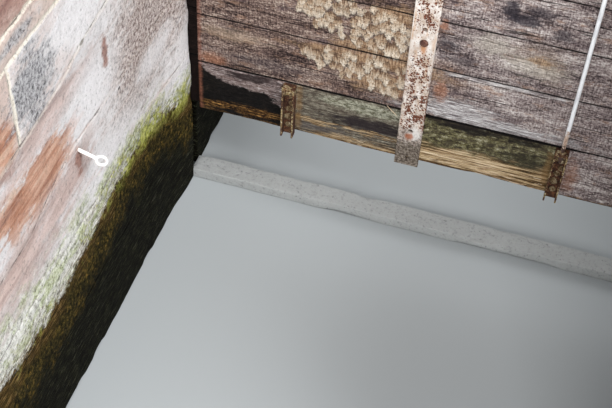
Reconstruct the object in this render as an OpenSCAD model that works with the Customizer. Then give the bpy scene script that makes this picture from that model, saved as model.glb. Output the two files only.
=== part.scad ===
// Timber sluice gate between two sandstone abutment walls, part raised.
// X runs across the waterway, +Y runs upstream and Z is up. The origin is on the bed,
// midway between the walls and in the plane of the leaf's downstream face.
// All sizes are in millimetres.

/* [Waterway] */
// Clear width between the two abutment walls
opening_w = 1820; // [1300:10:3000]
// Height of the leaf's bottom edge above the bed, as the gate stands
rest_lift = 400; // [200:10:900]
// How much further the hoist can raise the leaf
raise_travel = 600; // [200:10:900]

/* [Abutment walls] */
// Thickness of each wall behind its face
wall_t = 450; // [350:10:900]
// Height of the masonry under the coping
wall_h = 1880; // [1200:10:2600]
// Length of wall on the downstream side of the leaf
wall_down = 1650; // [600:10:3000]
// Length of wall on the upstream side of the leaf
wall_up = 850; // [400:10:2000]
// Chamfer worn on each upright arris of the stone
arris = 12; // [4:1:30]
// Depth of the stop groove behind the wall face
groove_depth = 80; // [50:5:140]

/* [Coping] */
// Thickness of the coping stones
coping_t = 150; // [80:5:250]
// Overhang of the coping beyond both wall faces
coping_over = 25; // [0:5:60]
// Weathered bevel along the top edges of the coping
coping_bevel = 24; // [5:1:50]

/* [Sill] */
// Height of the stone sill above the bed
sill_h = 50; // [30:5:140]
// Width of the sill along the stream
sill_w = 90; // [60:10:400]

/* [Leaf] */
// Thickness of the planks
leaf_t = 80; // [60:5:120]
// Height of the bottom plank
bottom_plank_h = 240; // [150:5:300]
// Height of the second plank
second_plank_h = 220; // [150:5:300]
// Height of the third plank
third_plank_h = 205; // [150:5:300]
// Height of the fourth plank
fourth_plank_h = 187; // [150:1:300]
// Height of the fifth and the sixth plank
upper_plank_h = 200; // [150:5:300]
// Height of the top plank
top_plank_h = 190; // [160:5:300]
// Thickness of the plank ends, which run in the stop grooves
tongue_t = 50; // [30:5:55]
// Gap between the thick part of the leaf and the wall face
end_gap = 54; // [20:1:120]
// Clearance of the plank ends in the stop grooves, on every side
groove_clear = 9; // [6:1:20]
// Bevel along the face edges of each plank
plank_bevel = 5; // [2:1:10]
// Thickness of the tongue along the top edge of each plank
joint_t = 22; // [12:1:30]
// Height of the tongue along the top edge of each plank
joint_h = 14; // [8:1:20]

/* [Centre strap] */
// Width of the flat iron strap
strap_w = 90; // [60:5:120]
// Thickness of the flat iron strap
strap_t = 10; // [6:1:16]
// Distance of the strap to the left of the middle
strap_offset = 33; // [0:1:80]
// How far the strap hangs below the leaf
strap_drop = 18; // [0:1:40]
// Diameter of the two empty bolt holes that show as half moons
strap_hole_d = 20; // [10:1:26]
// Diameter of the empty bolt hole over the bottom edge
strap_low_hole_d = 14; // [8:1:20]
// Height of the upper empty bolt hole over the leaf's bottom edge
strap_hole_high = 624; // [560:1:660]
// Height of the lower empty bolt hole over the leaf's bottom edge
strap_hole_mid = 318; // [250:1:400]
// Height of the mossy bolt hole over the leaf's bottom edge
strap_hole_moss = 154; // [80:1:200]
// Height of the lowest bolt hole over the leaf's bottom edge
strap_hole_low = 20; // [10:1:60]

/* [Tie rod brackets] */
// Distance of the left pair of brackets from the middle
left_bracket_x = 498; // [300:1:600]
// Distance of the right pair of brackets from the middle
right_bracket_x = 513; // [300:1:600]
// Width of a channel bracket
bracket_w = 48; // [40:1:80]
// How far the flanges of a bracket stand out from the leaf
bracket_d = 32; // [24:1:50]
// Thickness of the bracket's web and flanges
bracket_t = 6; // [4:1:10]
// How far the flanges hang below the leaf
bracket_drop = 6; // [0:1:20]
// How far a bracket stops short of the plank's far edge
bracket_short = 4; // [0:1:20]
// Thickness of the bridge that the tie rod passes through
bridge_t = 14; // [8:1:20]
// Diameter of the tie rod
rod_d = 15; // [10:1:20]
// Clearance round the tie rod in its bridges
rod_clear = 0.4; // [0.2:0.1:1]
// Width of the tie rod's nuts across their flats
nut_w = 26; // [18:1:32]
// Thickness of the tie rod's nuts
nut_t = 14; // [8:1:20]
// How far the tie rod runs past its nuts
rod_tail = 18; // [5:1:40]

/* [Back straps] */
// Width of the straps on the upstream face
back_strap_w = 60; // [40:5:100]
// Thickness of the straps on the upstream face
back_strap_t = 8; // [5:1:14]
// How far the back straps stop short of the leaf's edges
back_strap_short = 10; // [5:1:40]

/* [Head frame] */
// Side of the square oak posts
post_side = 140; // [100:5:200]
// Gap between the stop groove and the post
post_gap = 20; // [10:1:60]
// Thickness of each head beam
beam_t = 90; // [60:5:140]
// Height of each head beam
beam_h = 180; // [120:5:260]
// How far the head beams run past the posts
beam_end = 120; // [40:5:250]
// Gap between the fully raised leaf and the head beams
beam_clear = 58; // [20:1:200]
// Bevel under the ends of the head beams
beam_bevel = 60; // [20:5:100]

/* [Rack] */
// Width of the rack bar behind its teeth
rack_w = 46; // [36:1:70]
// Thickness of the rack bar
rack_t = 28; // [18:1:40]
// How far the rack bar laps down the leaf
rack_lap = 540; // [300:10:540]
// Distance from one rack tooth to the next
tooth_pitch = 25; // [16:1:32]
// Height of the rack teeth
tooth_h = 15; // [8:1:18]
// Length of rack above the pinion when the gate is shut
rack_spare = 60; // [40:5:150]
// Bevel at the rack's lower end
rack_bevel = 12; // [4:1:20]

/* [Rack housing] */
// Wall of iron round the rack's slot
housing_wall = 26; // [16:1:40]
// Play of the rack against the guide at its back
guide_clear = 0.3; // [0.2:0.1:1]
// Clearance round the other sides of the rack in the housing
rack_clear = 7; // [5:1:12]
// Pitch radius of the pinion inside the housing
pinion_r = 48; // [30:1:70]
// Height of the pinion shaft over the head beams
shaft_rise = 90; // [70:1:140]
// Diameter of the pinion shaft
shaft_d = 32; // [20:1:44]
// Wall of iron round the shaft in each boss
boss_wall = 18; // [10:1:30]
// How far each boss stands out from the housing
boss_l = 16; // [8:1:30]
// Round length of shaft that shows between the boss and the square
shaft_neck = 6; // [2:1:20]
// Side of the square on the shaft's crank end
shaft_square = 22; // [14:1:28]
// Length of the square on the shaft's crank end
square_l = 60; // [30:1:100]
// Thickness of the housing's foot flange
flange_t = 14; // [8:1:24]
// How far the foot flange laps onto each head beam
flange_lap = 60; // [40:5:60]

/* [Eye bolts] */
// Diameter of the eye bolt's shank
eye_shank_d = 12; // [8:1:20]
// Length of the shank that shows
eye_shank_l = 62; // [30:1:120]
// Outer diameter of the eye
eye_d = 42; // [30:1:80]
// Thickness of the eye's ring
eye_wire = 9; // [6:1:14]
// Angle by which each eye bolt droops from level
eye_droop = 17; // [0:1:30]
// Distance of the eye bolts downstream of the leaf
eye_y = 876; // [200:1:1200]
// Height of the eye bolts above the bed
eye_z = 972; // [500:1:1500]

/* [Hidden] */

half_open = opening_w / 2;
plank_h = [bottom_plank_h, second_plank_h, third_plank_h, fourth_plank_h,
           upper_plank_h, upper_plank_h, top_plank_h];
last_plank = len(plank_h) - 1;
function plank_foot(i) = i == 0 ? 0 : plank_foot(i - 1) + plank_h[i - 1];
leaf_h = plank_foot(last_plank) + plank_h[last_plank];
leaf_top = rest_lift + leaf_h;

// Stop grooves: the plank ends are flush with the leaf's upstream face
groove_y0 = leaf_t - tongue_t - groove_clear;
groove_y1 = leaf_t + groove_clear;
groove_back = half_open + groove_depth;
leaf_half = groove_back - groove_clear;
thick_half = half_open - end_gap;
sill_y0 = groove_clear;

joint_clear = 0.5;      // play of each plank's tongue in the next plank's groove
joint_room = 2;         // room over each plank's tongue
joint_y = (leaf_t - joint_t) / 2;

top_z = wall_h + coping_t;
post_x0 = groove_back + post_gap;
// The head frame is centred on the rack, so that the rack rises between its beams
rack_y1 = -strap_t;
rack_y0 = rack_y1 - rack_t;
frame_y = (rack_y0 + rack_y1) / 2;
beam_z = leaf_top + raise_travel + beam_clear;
beam_top = beam_z + beam_h;
beam_half = post_x0 + post_side + beam_end;

shaft_z = beam_top + shaft_rise;
shut_drop = rest_lift - sill_h;             // fall of the leaf from here to the sill
rack_z0 = leaf_top - rack_lap;
rack_top = shaft_z + shut_drop + rack_spare;
teeth_z0 = shaft_z - raise_travel - 2 * tooth_pitch;
tooth_count = floor((rack_top - teeth_z0) / tooth_pitch) - 1;
rack_x0 = -strap_offset - rack_w / 2;
rack_x1 = rack_x0 + rack_w;                 // root line of the teeth
shaft_x = rack_x1 + tooth_h / 2 + pinion_r;
slot_x0 = rack_x0 - guide_clear;
slot_x1 = rack_x1 + tooth_h + rack_clear;
body_x0 = slot_x0 - housing_wall;
body_x1 = shaft_x + pinion_r + housing_wall;
body_half_y = rack_t / 2 + rack_clear + housing_wall;
boss_r = shaft_d / 2 + boss_wall;
flange_half_y = post_side / 2 + flange_lap;

stone = "#b9a596";
pale_stone = "#c4b5a6";
old_oak = "#6f6058";
frame_oak = "#7d6f60";
rusty_iron = "#5f463a";
cream_paint = "#c9c0ae";
grey_zinc = "#a9afb2";
cast_iron = "#4b4a48";
white_paint = "#e6e6e2";

fine = 48;          // facets of bolt holes, rods and bosses
cut = 1;            // how far a cutting shape runs past what it cuts

// Mirrors a piece of the right-hand side to the left-hand side
module on_left() { mirror([1, 0, 0]) children(); }

// A wall block seen in plan, with a worn arris at each end of its wetted face
module wall_block(x0, y0, y1) {
    x1 = half_open + wall_t;
    linear_extrude(height = wall_h)
        polygon([[x0 + arris, y0], [x1, y0], [x1, y1], [x0 + arris, y1],
                 [x0, y1 - arris], [x0, y0 + arris]]);
}

// A length of coping, with both top edges bevelled where they are free
module coping_block(x0, y0, y1, inner_over, inner_bevel) {
    x1 = half_open + wall_t + coping_over;
    xi = x0 - inner_over;
    translate([0, y1, wall_h]) rotate([90, 0, 0])
        linear_extrude(height = y1 - y0)
            polygon([[xi, 0], [x1, 0], [x1, coping_t - coping_bevel],
                     [x1 - coping_bevel, coping_t], [xi + inner_bevel, coping_t],
                     [xi, coping_t - inner_bevel]]);
}

module downstream_wall() { wall_block(half_open, -wall_down, groove_y0); }
module upstream_wall() { wall_block(half_open, groove_y1, wall_up); }

// The stone behind the stop groove
module groove_backing() {
    translate([groove_back, groove_y0, 0])
        cube([half_open + wall_t - groove_back, groove_y1 - groove_y0, wall_h]);
}

module downstream_coping() {
    coping_block(half_open, -wall_down, groove_y0, coping_over, coping_bevel);
}
module upstream_coping() {
    coping_block(half_open, groove_y1, wall_up, coping_over, coping_bevel);
}
module middle_coping() { coping_block(groove_back, groove_y0, groove_y1, 0, 0); }

// Stone sill that the shut leaf meets, with a bevelled upstream edge
module sill() {
    color(pale_stone)
    translate([-half_open, 0, 0]) rotate([90, 0, 90])
        linear_extrude(height = opening_w)
            polygon([[sill_y0, 0], [sill_y0 + sill_w, 0],
                     [sill_y0 + sill_w, sill_h / 2],
                     [sill_y0 + sill_w - sill_h / 2, sill_h], [sill_y0, sill_h]]);
}

// Square oak post with a bevel down each of its four edges
module post() {
    bevel = post_side / 12;
    translate([post_x0, frame_y - post_side / 2, top_z])
        linear_extrude(height = beam_top - top_z)
            polygon([[bevel, 0], [post_side - bevel, 0], [post_side, bevel],
                     [post_side, post_side - bevel], [post_side - bevel, post_side],
                     [bevel, post_side], [0, post_side - bevel], [0, bevel]]);
}

// Head beam with the underside of each end bevelled
module head_beam(y0) {
    color(frame_oak)
    translate([0, y0 + beam_t, beam_z]) rotate([90, 0, 0])
        linear_extrude(height = beam_t)
            polygon([[-beam_half, beam_bevel], [-beam_half + beam_bevel, 0],
                     [beam_half - beam_bevel, 0], [beam_half, beam_bevel],
                     [beam_half, beam_h], [-beam_half, beam_h]]);
}
module downstream_head_beam() { head_beam(frame_y - post_side / 2 - beam_t); }
module upstream_head_beam() { head_beam(frame_y + post_side / 2); }

// Plank seen from its end: bevelled edges, a tongue on top and a groove below
module plank_section(i) {
    h = plank_h[i];
    b = plank_bevel;
    g0 = joint_y - joint_clear;
    g1 = joint_y + joint_t + joint_clear;
    t0 = joint_y;
    t1 = joint_y + joint_t;
    foot = i == 0 ? [[0, b], [b, 0], [leaf_t - b, 0], [leaf_t, b]]
         : [[0, b], [b, 0], [g0, 0], [g0, joint_h + joint_room],
            [g1, joint_h + joint_room], [g1, 0],
            [leaf_t - b, 0], [leaf_t, b]];
    head = i == last_plank ? [[leaf_t, h - b], [leaf_t - b, h], [b, h], [0, h - b]]
         : [[leaf_t, h - b], [leaf_t - b, h], [t1, h], [t1, h + joint_h],
            [t0, h + joint_h], [t0, h], [b, h], [0, h - b]];
    polygon(concat(foot, head));
}

// Plank i, counted from 0 at the bottom. Its ends are rebated on the downstream face.
module plank(i) {
    cut_l = leaf_half - thick_half;
    color(old_oak)
    difference() {
        translate([-leaf_half, 0, rest_lift + plank_foot(i)]) rotate([90, 0, 90])
            linear_extrude(height = 2 * leaf_half) plank_section(i);
        for (x = [-leaf_half, thick_half])
            translate([x - (x < 0 ? cut : 0), -cut, rest_lift + plank_foot(i) - cut])
                cube([cut_l + cut, leaf_t - tongue_t + cut, plank_h[i] + joint_h + 2 * cut]);
    }
}

// Flat iron strap with its empty bolt holes
module centre_strap() {
    color(cream_paint)
    difference() {
        translate([-strap_offset - strap_w / 2, -strap_t, rest_lift - strap_drop])
            cube([strap_w, strap_t, leaf_h + strap_drop]);
        for (hole = [[strap_hole_high, strap_hole_d], [strap_hole_mid, strap_hole_d],
                     [strap_hole_moss, strap_hole_d], [strap_hole_low, strap_low_hole_d]])
            translate([-strap_offset, cut, rest_lift + hole[0]]) rotate([90, 0, 0])
                cylinder(d = hole[1], h = strap_t + 2 * cut, $fn = fine);
    }
}

module back_strap(x) {
    color(rusty_iron)
    translate([x - back_strap_w / 2, leaf_t, rest_lift + back_strap_short])
        cube([back_strap_w, back_strap_t, leaf_h - 2 * back_strap_short]);
}
module left_back_strap() { back_strap(-left_bracket_x); }
module centre_back_strap() { back_strap(-strap_offset); }
module right_back_strap() { back_strap(right_bracket_x); }

// The tie rod runs in the middle of the brackets' hollow
rod_y = -(bracket_t + bracket_d) / 2;
low_bridge_z = rest_lift + bottom_plank_h - bracket_short - bridge_t;
high_bridge_z = leaf_top - top_plank_h + bracket_short;

// Channel bracket with a bridge across its hollow, bored for the tie rod
module bracket(x, z0, z1, bridge_z) {
    color(rusty_iron)
    difference() {
        union() {
            translate([x - bracket_w / 2, 0, z0]) linear_extrude(height = z1 - z0)
                polygon([[0, 0], [0, -bracket_d], [bracket_t, -bracket_d],
                         [bracket_t, -bracket_t], [bracket_w - bracket_t, -bracket_t],
                         [bracket_w - bracket_t, -bracket_d], [bracket_w, -bracket_d],
                         [bracket_w, 0]]);
            translate([x - bracket_w / 2 + bracket_t, -bracket_d, bridge_z])
                cube([bracket_w - 2 * bracket_t, bracket_d - bracket_t, bridge_t]);
        }
        translate([x, rod_y, bridge_z - cut])
            cylinder(d = rod_d + 2 * rod_clear, h = bridge_t + 2 * cut, $fn = fine);
    }
}
module bottom_bracket(x) {
    bracket(x, rest_lift - bracket_drop, rest_lift + bottom_plank_h - bracket_short,
            low_bridge_z);
}
module top_bracket(x) {
    bracket(x, leaf_top - top_plank_h + bracket_short, leaf_top - bracket_short,
            high_bridge_z);
}
module left_bottom_bracket() { bottom_bracket(-left_bracket_x); }
module right_bottom_bracket() { bottom_bracket(right_bracket_x); }
module left_top_bracket() { top_bracket(-left_bracket_x); }
module right_top_bracket() { top_bracket(right_bracket_x); }

module hex_nut(x, z) {
    translate([x, rod_y, z])
        cylinder(d = nut_w / cos(30), h = nut_t, $fn = 6);
}

// Galvanised tie rod with a nut under its lower bridge and one over its upper bridge
module tie_rod() {
    z0 = low_bridge_z - nut_t - rod_tail;
    z1 = high_bridge_z + bridge_t + nut_t + rod_tail;
    color(grey_zinc) {
        translate([right_bracket_x, rod_y, z0])
            cylinder(d = rod_d, h = z1 - z0, $fn = fine);
        hex_nut(right_bracket_x, low_bridge_z - nut_t);
        hex_nut(right_bracket_x, high_bridge_z + bridge_t);
    }
}

// What is left of the other tie rod: its lower end and nut, snapped off over the bridge
module rod_stub() {
    stub_top = low_bridge_z + bridge_t + rod_d / 4;
    z0 = low_bridge_z - nut_t - 2 * rod_tail;
    color(rusty_iron) {
        translate([-left_bracket_x, rod_y, z0])
            cylinder(d = rod_d, h = stub_top - z0, $fn = fine);
        hex_nut(-left_bracket_x, low_bridge_z - nut_t);
    }
}

// Outline of the rack: a plain bar below, and teeth on one edge above
module rack_outline() {
    crest = tooth_pitch * 0.2;      // half width of a tooth at its tip
    root = tooth_pitch * 0.38;      // half width of a tooth at its root
    teeth = [for (i = [0 : tooth_count - 1], p = [[0, -root], [1, -crest], [1, crest], [0, root]])
             [rack_w + p[0] * tooth_h,
              teeth_z0 - rack_z0 + (i + 0.5) * tooth_pitch + p[1]]];
    polygon(concat([[0, rack_bevel], [rack_bevel, 0], [rack_w - rack_bevel, 0],
                    [rack_w, rack_bevel]], teeth,
                   [[rack_w, rack_top - rack_z0], [0, rack_top - rack_z0]]));
}

// Lifting rack, lapped onto the strap, with the corners of its lower end cut off
module rack() {
    color(cast_iron)
    translate([rack_x0, rack_y1, rack_z0]) rotate([90, 0, 0])
        linear_extrude(height = rack_t) rack_outline();
}

// Cast housing of the pinion: a rounded box on a foot flange, with a slot for the rack
module rack_housing() {
    body_r = pinion_r + housing_wall;
    slot_y = rack_t + 2 * rack_clear;
    seat = boss_l + housing_wall / 2;
    color(cast_iron)
    translate([0, frame_y, 0])
    difference() {
        union() {
            translate([body_x0, -flange_half_y, beam_top])
                cube([body_x1 - body_x0, 2 * flange_half_y, flange_t]);
            translate([0, body_half_y, 0]) rotate([90, 0, 0])
                linear_extrude(height = 2 * body_half_y) {
                    translate([body_x0, beam_top])
                        square([body_x1 - body_x0, shaft_rise]);
                    translate([shaft_x, shaft_z]) circle(r = body_r, $fn = 96);
                    translate([body_x0, shaft_z])
                        square([shaft_x - body_x0, body_r]);
                }
            translate([shaft_x, body_half_y + boss_l, shaft_z]) rotate([90, 0, 0])
                cylinder(r = boss_r, h = 2 * (body_half_y + boss_l), $fn = fine);
        }
        translate([slot_x0, -slot_y / 2, beam_top - cut])
            cube([slot_x1 - slot_x0, slot_y, shaft_rise + body_r + 2 * cut]);
        for (side = [-1, 1])
            translate([shaft_x, side * (body_half_y + boss_l + cut), shaft_z])
                rotate([side * 90, 0, 0])
                    cylinder(d = shaft_d, h = seat + cut, $fn = fine);
    }
}

// Crank end of the pinion shaft, seated in the downstream boss
module pinion_shaft() {
    seat = boss_l + housing_wall / 2;
    y0 = frame_y - body_half_y - boss_l;
    color(cast_iron) {
        translate([shaft_x, y0 + seat, shaft_z]) rotate([90, 0, 0])
            cylinder(d = shaft_d, h = seat + shaft_neck, $fn = fine);
        translate([shaft_x - shaft_square / 2, y0 - shaft_neck - square_l,
                   shaft_z - shaft_square / 2])
            cube([shaft_square, square_l, shaft_square]);
    }
}

// Eye bolt that droops from the wall's face: a shank cut flush with the face, and a ring
module eye_bolt() {
    ring_r = (eye_d - eye_wire) / 2;
    color(white_paint)
    translate([half_open, -eye_y, eye_z])
    intersection() {
        rotate([0, -eye_droop, 0]) {
            translate([eye_shank_d, 0, 0]) rotate([0, -90, 0])
                cylinder(d = eye_shank_d, h = eye_shank_l + eye_shank_d, $fn = 32);
            translate([-eye_shank_l - ring_r, 0, 0])
                rotate_extrude($fn = fine)
                    translate([ring_r, 0]) circle(d = eye_wire, $fn = 24);
        }
        translate([-2 * eye_shank_l - eye_d, -eye_d, -eye_shank_l - eye_d])
            cube([2 * eye_shank_l + eye_d, 2 * eye_d, 2 * (eye_shank_l + eye_d)]);
    }
}

color(stone) on_left() downstream_wall();  // left_downstream_wall
color(stone) on_left() groove_backing();  // left_groove_backing
color(stone) on_left() upstream_wall();  // left_upstream_wall
color(stone) downstream_wall();  // right_downstream_wall
color(stone) groove_backing();  // right_groove_backing
color(stone) upstream_wall();  // right_upstream_wall
color(pale_stone) on_left() downstream_coping();  // left_downstream_coping
color(pale_stone) on_left() middle_coping();  // left_middle_coping
color(pale_stone) on_left() upstream_coping();  // left_upstream_coping
color(pale_stone) downstream_coping();  // right_downstream_coping
color(pale_stone) middle_coping();  // right_middle_coping
color(pale_stone) upstream_coping();  // right_upstream_coping
sill();
color(frame_oak) on_left() post();  // left_post
color(frame_oak) post();  // right_post
downstream_head_beam();
upstream_head_beam();
rack_housing();
pinion_shaft();
on_left() eye_bolt();  // left_eye_bolt
eye_bolt();  // right_eye_bolt
plank(0);  // plank_1
plank(1);  // plank_2
plank(2);  // plank_3
plank(3);  // plank_4
plank(4);  // plank_5
plank(5);  // plank_6
plank(6);  // plank_7
centre_strap();
left_back_strap();
centre_back_strap();
right_back_strap();
left_bottom_bracket();
right_bottom_bracket();
left_top_bracket();
right_top_bracket();
tie_rod();
rod_stub();
rack();
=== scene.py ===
# %% [markdown]
# # A timber sluice gate, dressed around its CAD frame
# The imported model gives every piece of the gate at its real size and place. This script keeps that
# frame and gives each piece the surface that the real one has: oak planks worn by water, sandstone
# with a dark wet foot, painted iron with rust pits. All lengths are in metres, X runs across the
# waterway, +Y runs upstream and Z is up.

# %% Load the frame
import math

import bpy
import numpy as np
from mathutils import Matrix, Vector


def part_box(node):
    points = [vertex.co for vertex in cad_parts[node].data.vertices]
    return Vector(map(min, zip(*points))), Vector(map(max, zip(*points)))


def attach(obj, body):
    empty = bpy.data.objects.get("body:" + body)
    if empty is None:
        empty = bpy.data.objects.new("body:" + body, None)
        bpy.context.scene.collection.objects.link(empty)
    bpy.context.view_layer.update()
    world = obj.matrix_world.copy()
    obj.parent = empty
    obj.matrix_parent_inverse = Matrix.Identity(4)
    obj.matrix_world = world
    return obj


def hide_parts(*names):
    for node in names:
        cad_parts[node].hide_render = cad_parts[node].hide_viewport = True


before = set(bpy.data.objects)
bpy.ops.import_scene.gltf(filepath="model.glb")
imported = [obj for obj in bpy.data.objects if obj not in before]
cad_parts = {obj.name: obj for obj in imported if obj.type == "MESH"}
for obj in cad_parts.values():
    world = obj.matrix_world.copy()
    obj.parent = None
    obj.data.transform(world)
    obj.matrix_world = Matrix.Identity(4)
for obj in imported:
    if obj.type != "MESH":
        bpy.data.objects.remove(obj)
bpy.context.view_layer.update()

# %% [markdown]
# ## Camera
# The camera stands downstream and above, as on a footbridge, and looks down at the lower left part
# of the leaf. It could be aimed at a target with a constraint, but three turn angles are plainer:
# tilt about X, then a slight roll about Y, then the heading about Z.

# %% Camera
IMAGE_W = 612
FOCAL_PX = 1200
SENSOR_MM = 36.0
CAMERA_PLACE = (0.420, -3.200, 3.562)
CAMERA_TURN = (42.96, -2.45, 17.19)

camera_data = bpy.data.cameras.new("camera")
camera_data.sensor_width = SENSOR_MM
camera_data.lens = FOCAL_PX / IMAGE_W * SENSOR_MM
camera = bpy.data.objects.new("camera", camera_data)
camera.location = CAMERA_PLACE
camera.rotation_euler = [math.radians(a) for a in CAMERA_TURN]
bpy.context.scene.collection.objects.link(camera)
bpy.context.scene.camera = camera
bpy.context.scene.view_settings.view_transform = "Standard"
print("lens", round(camera_data.lens, 1), "mm")

# %% [markdown]
# ## Driving sizes
# Places are read from the frame's own boxes, so a change of the model moves the looks with it.

# %% Sizes from the frame
def low(node):
    """Lowest corner of a CAD node."""
    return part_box(node)[0]


def high(node):
    """Highest corner of a CAD node."""
    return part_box(node)[1]


def middle(node):
    """Middle of a CAD node's box."""
    return (low(node) + high(node)) / 2


LEAF_Z = low("plank_1").z
LEAF_TOP = high("plank_7").z
LEAF_T = high("plank_1").y
WALL_X = low("right_downstream_wall").x
WALL_OUT = high("right_downstream_wall").x
WALL_Y0 = low("right_downstream_wall").y
WALL_Y1 = high("right_upstream_wall").y
WALL_TOP = high("right_downstream_wall").z
GROOVE_Y0 = high("right_downstream_wall").y
GROOVE_Y1 = low("right_upstream_wall").y
STRAP_X = middle("centre_strap").x
STRAP_Y = low("centre_strap").y
LEFT_X = middle("left_bottom_bracket").x
RIGHT_X = middle("right_bottom_bracket").x
PLANK_FEET = [low("plank_%d" % number).z for number in range(1, 8)] + [LEAF_TOP]
print("leaf bottom", round(LEAF_Z, 3), "wall face", round(WALL_X, 3))

# %% [markdown]
# ## Noise as arrays
# Worn stone and timber need bumps with no pattern to them. Blender has noise textures, but a mesh
# is better shaped by the same kind of noise worked out here for all points at once: random values
# on a lattice, blended smoothly between its corners, and summed at several sizes.

# %% Value noise
def lattice(i, j, k, seed):
    """A steady random number from 0 to 1 for every whole-number lattice corner (i, j, k)."""
    h = (i * 374761393 + j * 668265263 + k * 2147483647 + seed * 1274126177) & 0xFFFFFFFF
    h = ((h ^ (h >> 13)) * 1274126177) & 0xFFFFFFFF
    return ((h ^ (h >> 16)) & 0xFFFFFF) / 0xFFFFFF


def noise(points, seed=0):
    """Smooth noise from 0 to 1: the lattice values round each point, blended by 3t^2 - 2t^3."""
    base = np.floor(points).astype(np.int64)
    t = points - base
    t = t * t * (3 - 2 * t)
    total = np.zeros(len(points))
    for corner in range(8):
        step = np.array([corner & 1, corner >> 1 & 1, corner >> 2 & 1])
        weight = np.prod(np.where(step, t, 1 - t), axis=1)
        total += weight * lattice(*(base + step).T, seed)
    return total


def rough(points, octaves=4, seed=0):
    """Noise at halving sizes and strengths, summed and kept from -1 to 1."""
    total = np.zeros(len(points))
    strength = 1.0
    for octave in range(octaves):
        total += strength * (2 * noise(points * 2 ** octave, seed + 17 * octave) - 1)
        strength /= 2
    return total / 2


def ease(value, start, end):
    """0 before start, 1 after end, and a smooth step between them."""
    t = np.clip((value - start) / (end - start), 0, 1)
    return t * t * (3 - 2 * t)


# %% [markdown]
# ## From arrays to pieces
# Values that the materials need at each point, such as how near a mortar joint it is, go along as
# attributes.

# %% Pieces
def make_piece(name, points, faces, body, material, stands_for=(), marks=None):
    mesh = bpy.data.meshes.new(name)
    mesh.from_pydata(points.tolist(), [], faces)
    mesh.materials.append(material)
    mesh.polygons.foreach_set("use_smooth", [True] * len(mesh.polygons))
    for mark, values in (marks or {}).items():
        attribute = mesh.attributes.new(mark, "FLOAT", "POINT")
        attribute.data.foreach_set("value", values.astype(np.float32))
    mesh.update()
    piece = bpy.data.objects.new(name, mesh)
    bpy.context.scene.collection.objects.link(piece)
    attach(piece, body)
    if stands_for:
        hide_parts(*stands_for)
    print(name, len(faces), "faces")
    return piece


def sheet_faces(rows, columns, start=0, closed=False):
    """Faces of a grid whose points run row by row; closed joins its last column to its first."""
    r, c = np.meshgrid(np.arange(rows - 1), np.arange(columns if closed else columns - 1),
                       indexing="ij")
    here = start + r * columns + c
    beside = start + r * columns + (c + 1) % columns
    quads = np.stack([here, beside, beside + columns, here + columns], axis=-1)
    return quads.reshape(-1, 4)


def capped(rings, foot, head):
    """Points and faces of a skin over rings of points, closed by a single point at each end."""
    rows, columns = rings.shape[:2]
    points = np.concatenate([rings.reshape(-1, 3), [foot, head]])
    last = (rows - 1) * columns
    faces = sheet_faces(rows, columns, 0, True).tolist()
    faces += [[len(points) - 2, (i + 1) % columns, i] for i in range(columns)]
    faces += [[len(points) - 1, last + i, last + (i + 1) % columns] for i in range(columns)]
    return points, faces


class Heap:
    """Gathers points, faces and point values of many small shapes into one mesh."""

    def __init__(self):
        self.points = []
        self.faces = []
        self.marks = {}
        self.count = 0

    def add(self, points, faces, **marks):
        """Adds a shape; a mark is one value for it all, or one for each point."""
        self.points.append(points)
        self.faces.extend([[v + self.count for v in face] for face in faces])
        for mark, value in marks.items():
            self.marks.setdefault(mark, []).append(np.broadcast_to(value, len(points)))
        self.count += len(points)

    def piece(self, name, body, material, slot, stands_for=()):
        """Makes the piece from all that was added."""
        marks = {mark: np.concatenate(values) for mark, values in self.marks.items()}
        return make_piece(name, np.concatenate(self.points), self.faces, body, material,
                          stands_for, marks)


# %% [markdown]
# ## Shader helpers
# Materials are node trees. new_material and new_group put a tree in hand, and every helper works on
# the tree in hand: it adds a node, sets its values and links whatever output it is given. So a
# material reads as a list of what happens to the surface.

# %% Node helpers
class Hand:
    """The node tree that is being built. new_material and new_group put a new one in hand."""

    tree = None


def put(socket, value):
    """Links an output to a socket, or sets a plain value on it. A colour gets its alpha here."""
    if isinstance(value, bpy.types.NodeSocket):
        Hand.tree.links.new(value, socket)
    elif value is not None:
        socket.default_value = (*value, 1.0) if socket.type == "RGBA" else value


def add(kind, sockets=None, **settings):
    """Adds a node; sockets maps an input's name or number to a value or to an output."""
    made = Hand.tree.nodes.new(kind)
    for key, value in settings.items():
        setattr(made, key, value)
    for key, value in (sockets or {}).items():
        put(made.inputs[key], value)
    return made


# %% Arithmetic helpers
def calc(operation, a, b=0.0, c=None):
    """One step of arithmetic."""
    return add("ShaderNodeMath", {0: a, 1: b, 2: c}, operation=operation).outputs[0]


def both(*values):
    """Where all masks are on, which is their product; also scales a value by a number."""
    result = values[0]
    for value in values[1:]:
        result = calc("MULTIPLY", result, value)
    return result


def off_centre(value, strength):
    """Noise that swings evenly to both sides of nothing."""
    return both(calc("SUBTRACT", value, 0.5), strength)


def total(*pairs):
    """Sum of weight times value, given as pairs (weight, value)."""
    result = 0.0
    for weight, value in pairs:
        result = calc("MULTIPLY_ADD", value, weight, result)
    return result


# %% Places and noise
def place():
    """The point's place on the object, in metres."""
    return add("ShaderNodeTexCoord").outputs["Object"]


def mark_of(name):
    """A value that the mesh carries at each point."""
    return add("ShaderNodeAttribute", attribute_name=name).outputs["Fac"]


def parts(vector):
    """The x, y and z of a vector."""
    made = add("ShaderNodeSeparateXYZ", {0: vector}).outputs
    return made[0], made[1], made[2]


def vector_of(x, y, z):
    """A vector from its parts."""
    return add("ShaderNodeCombineXYZ", {0: x, 1: y, 2: z}).outputs[0]


def stretch(vector, scale):
    """Scales the coordinates, so that a texture is fine along one axis and long along another."""
    return add("ShaderNodeVectorMath", {0: vector, 1: scale}, operation="MULTIPLY").outputs[0]


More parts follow.
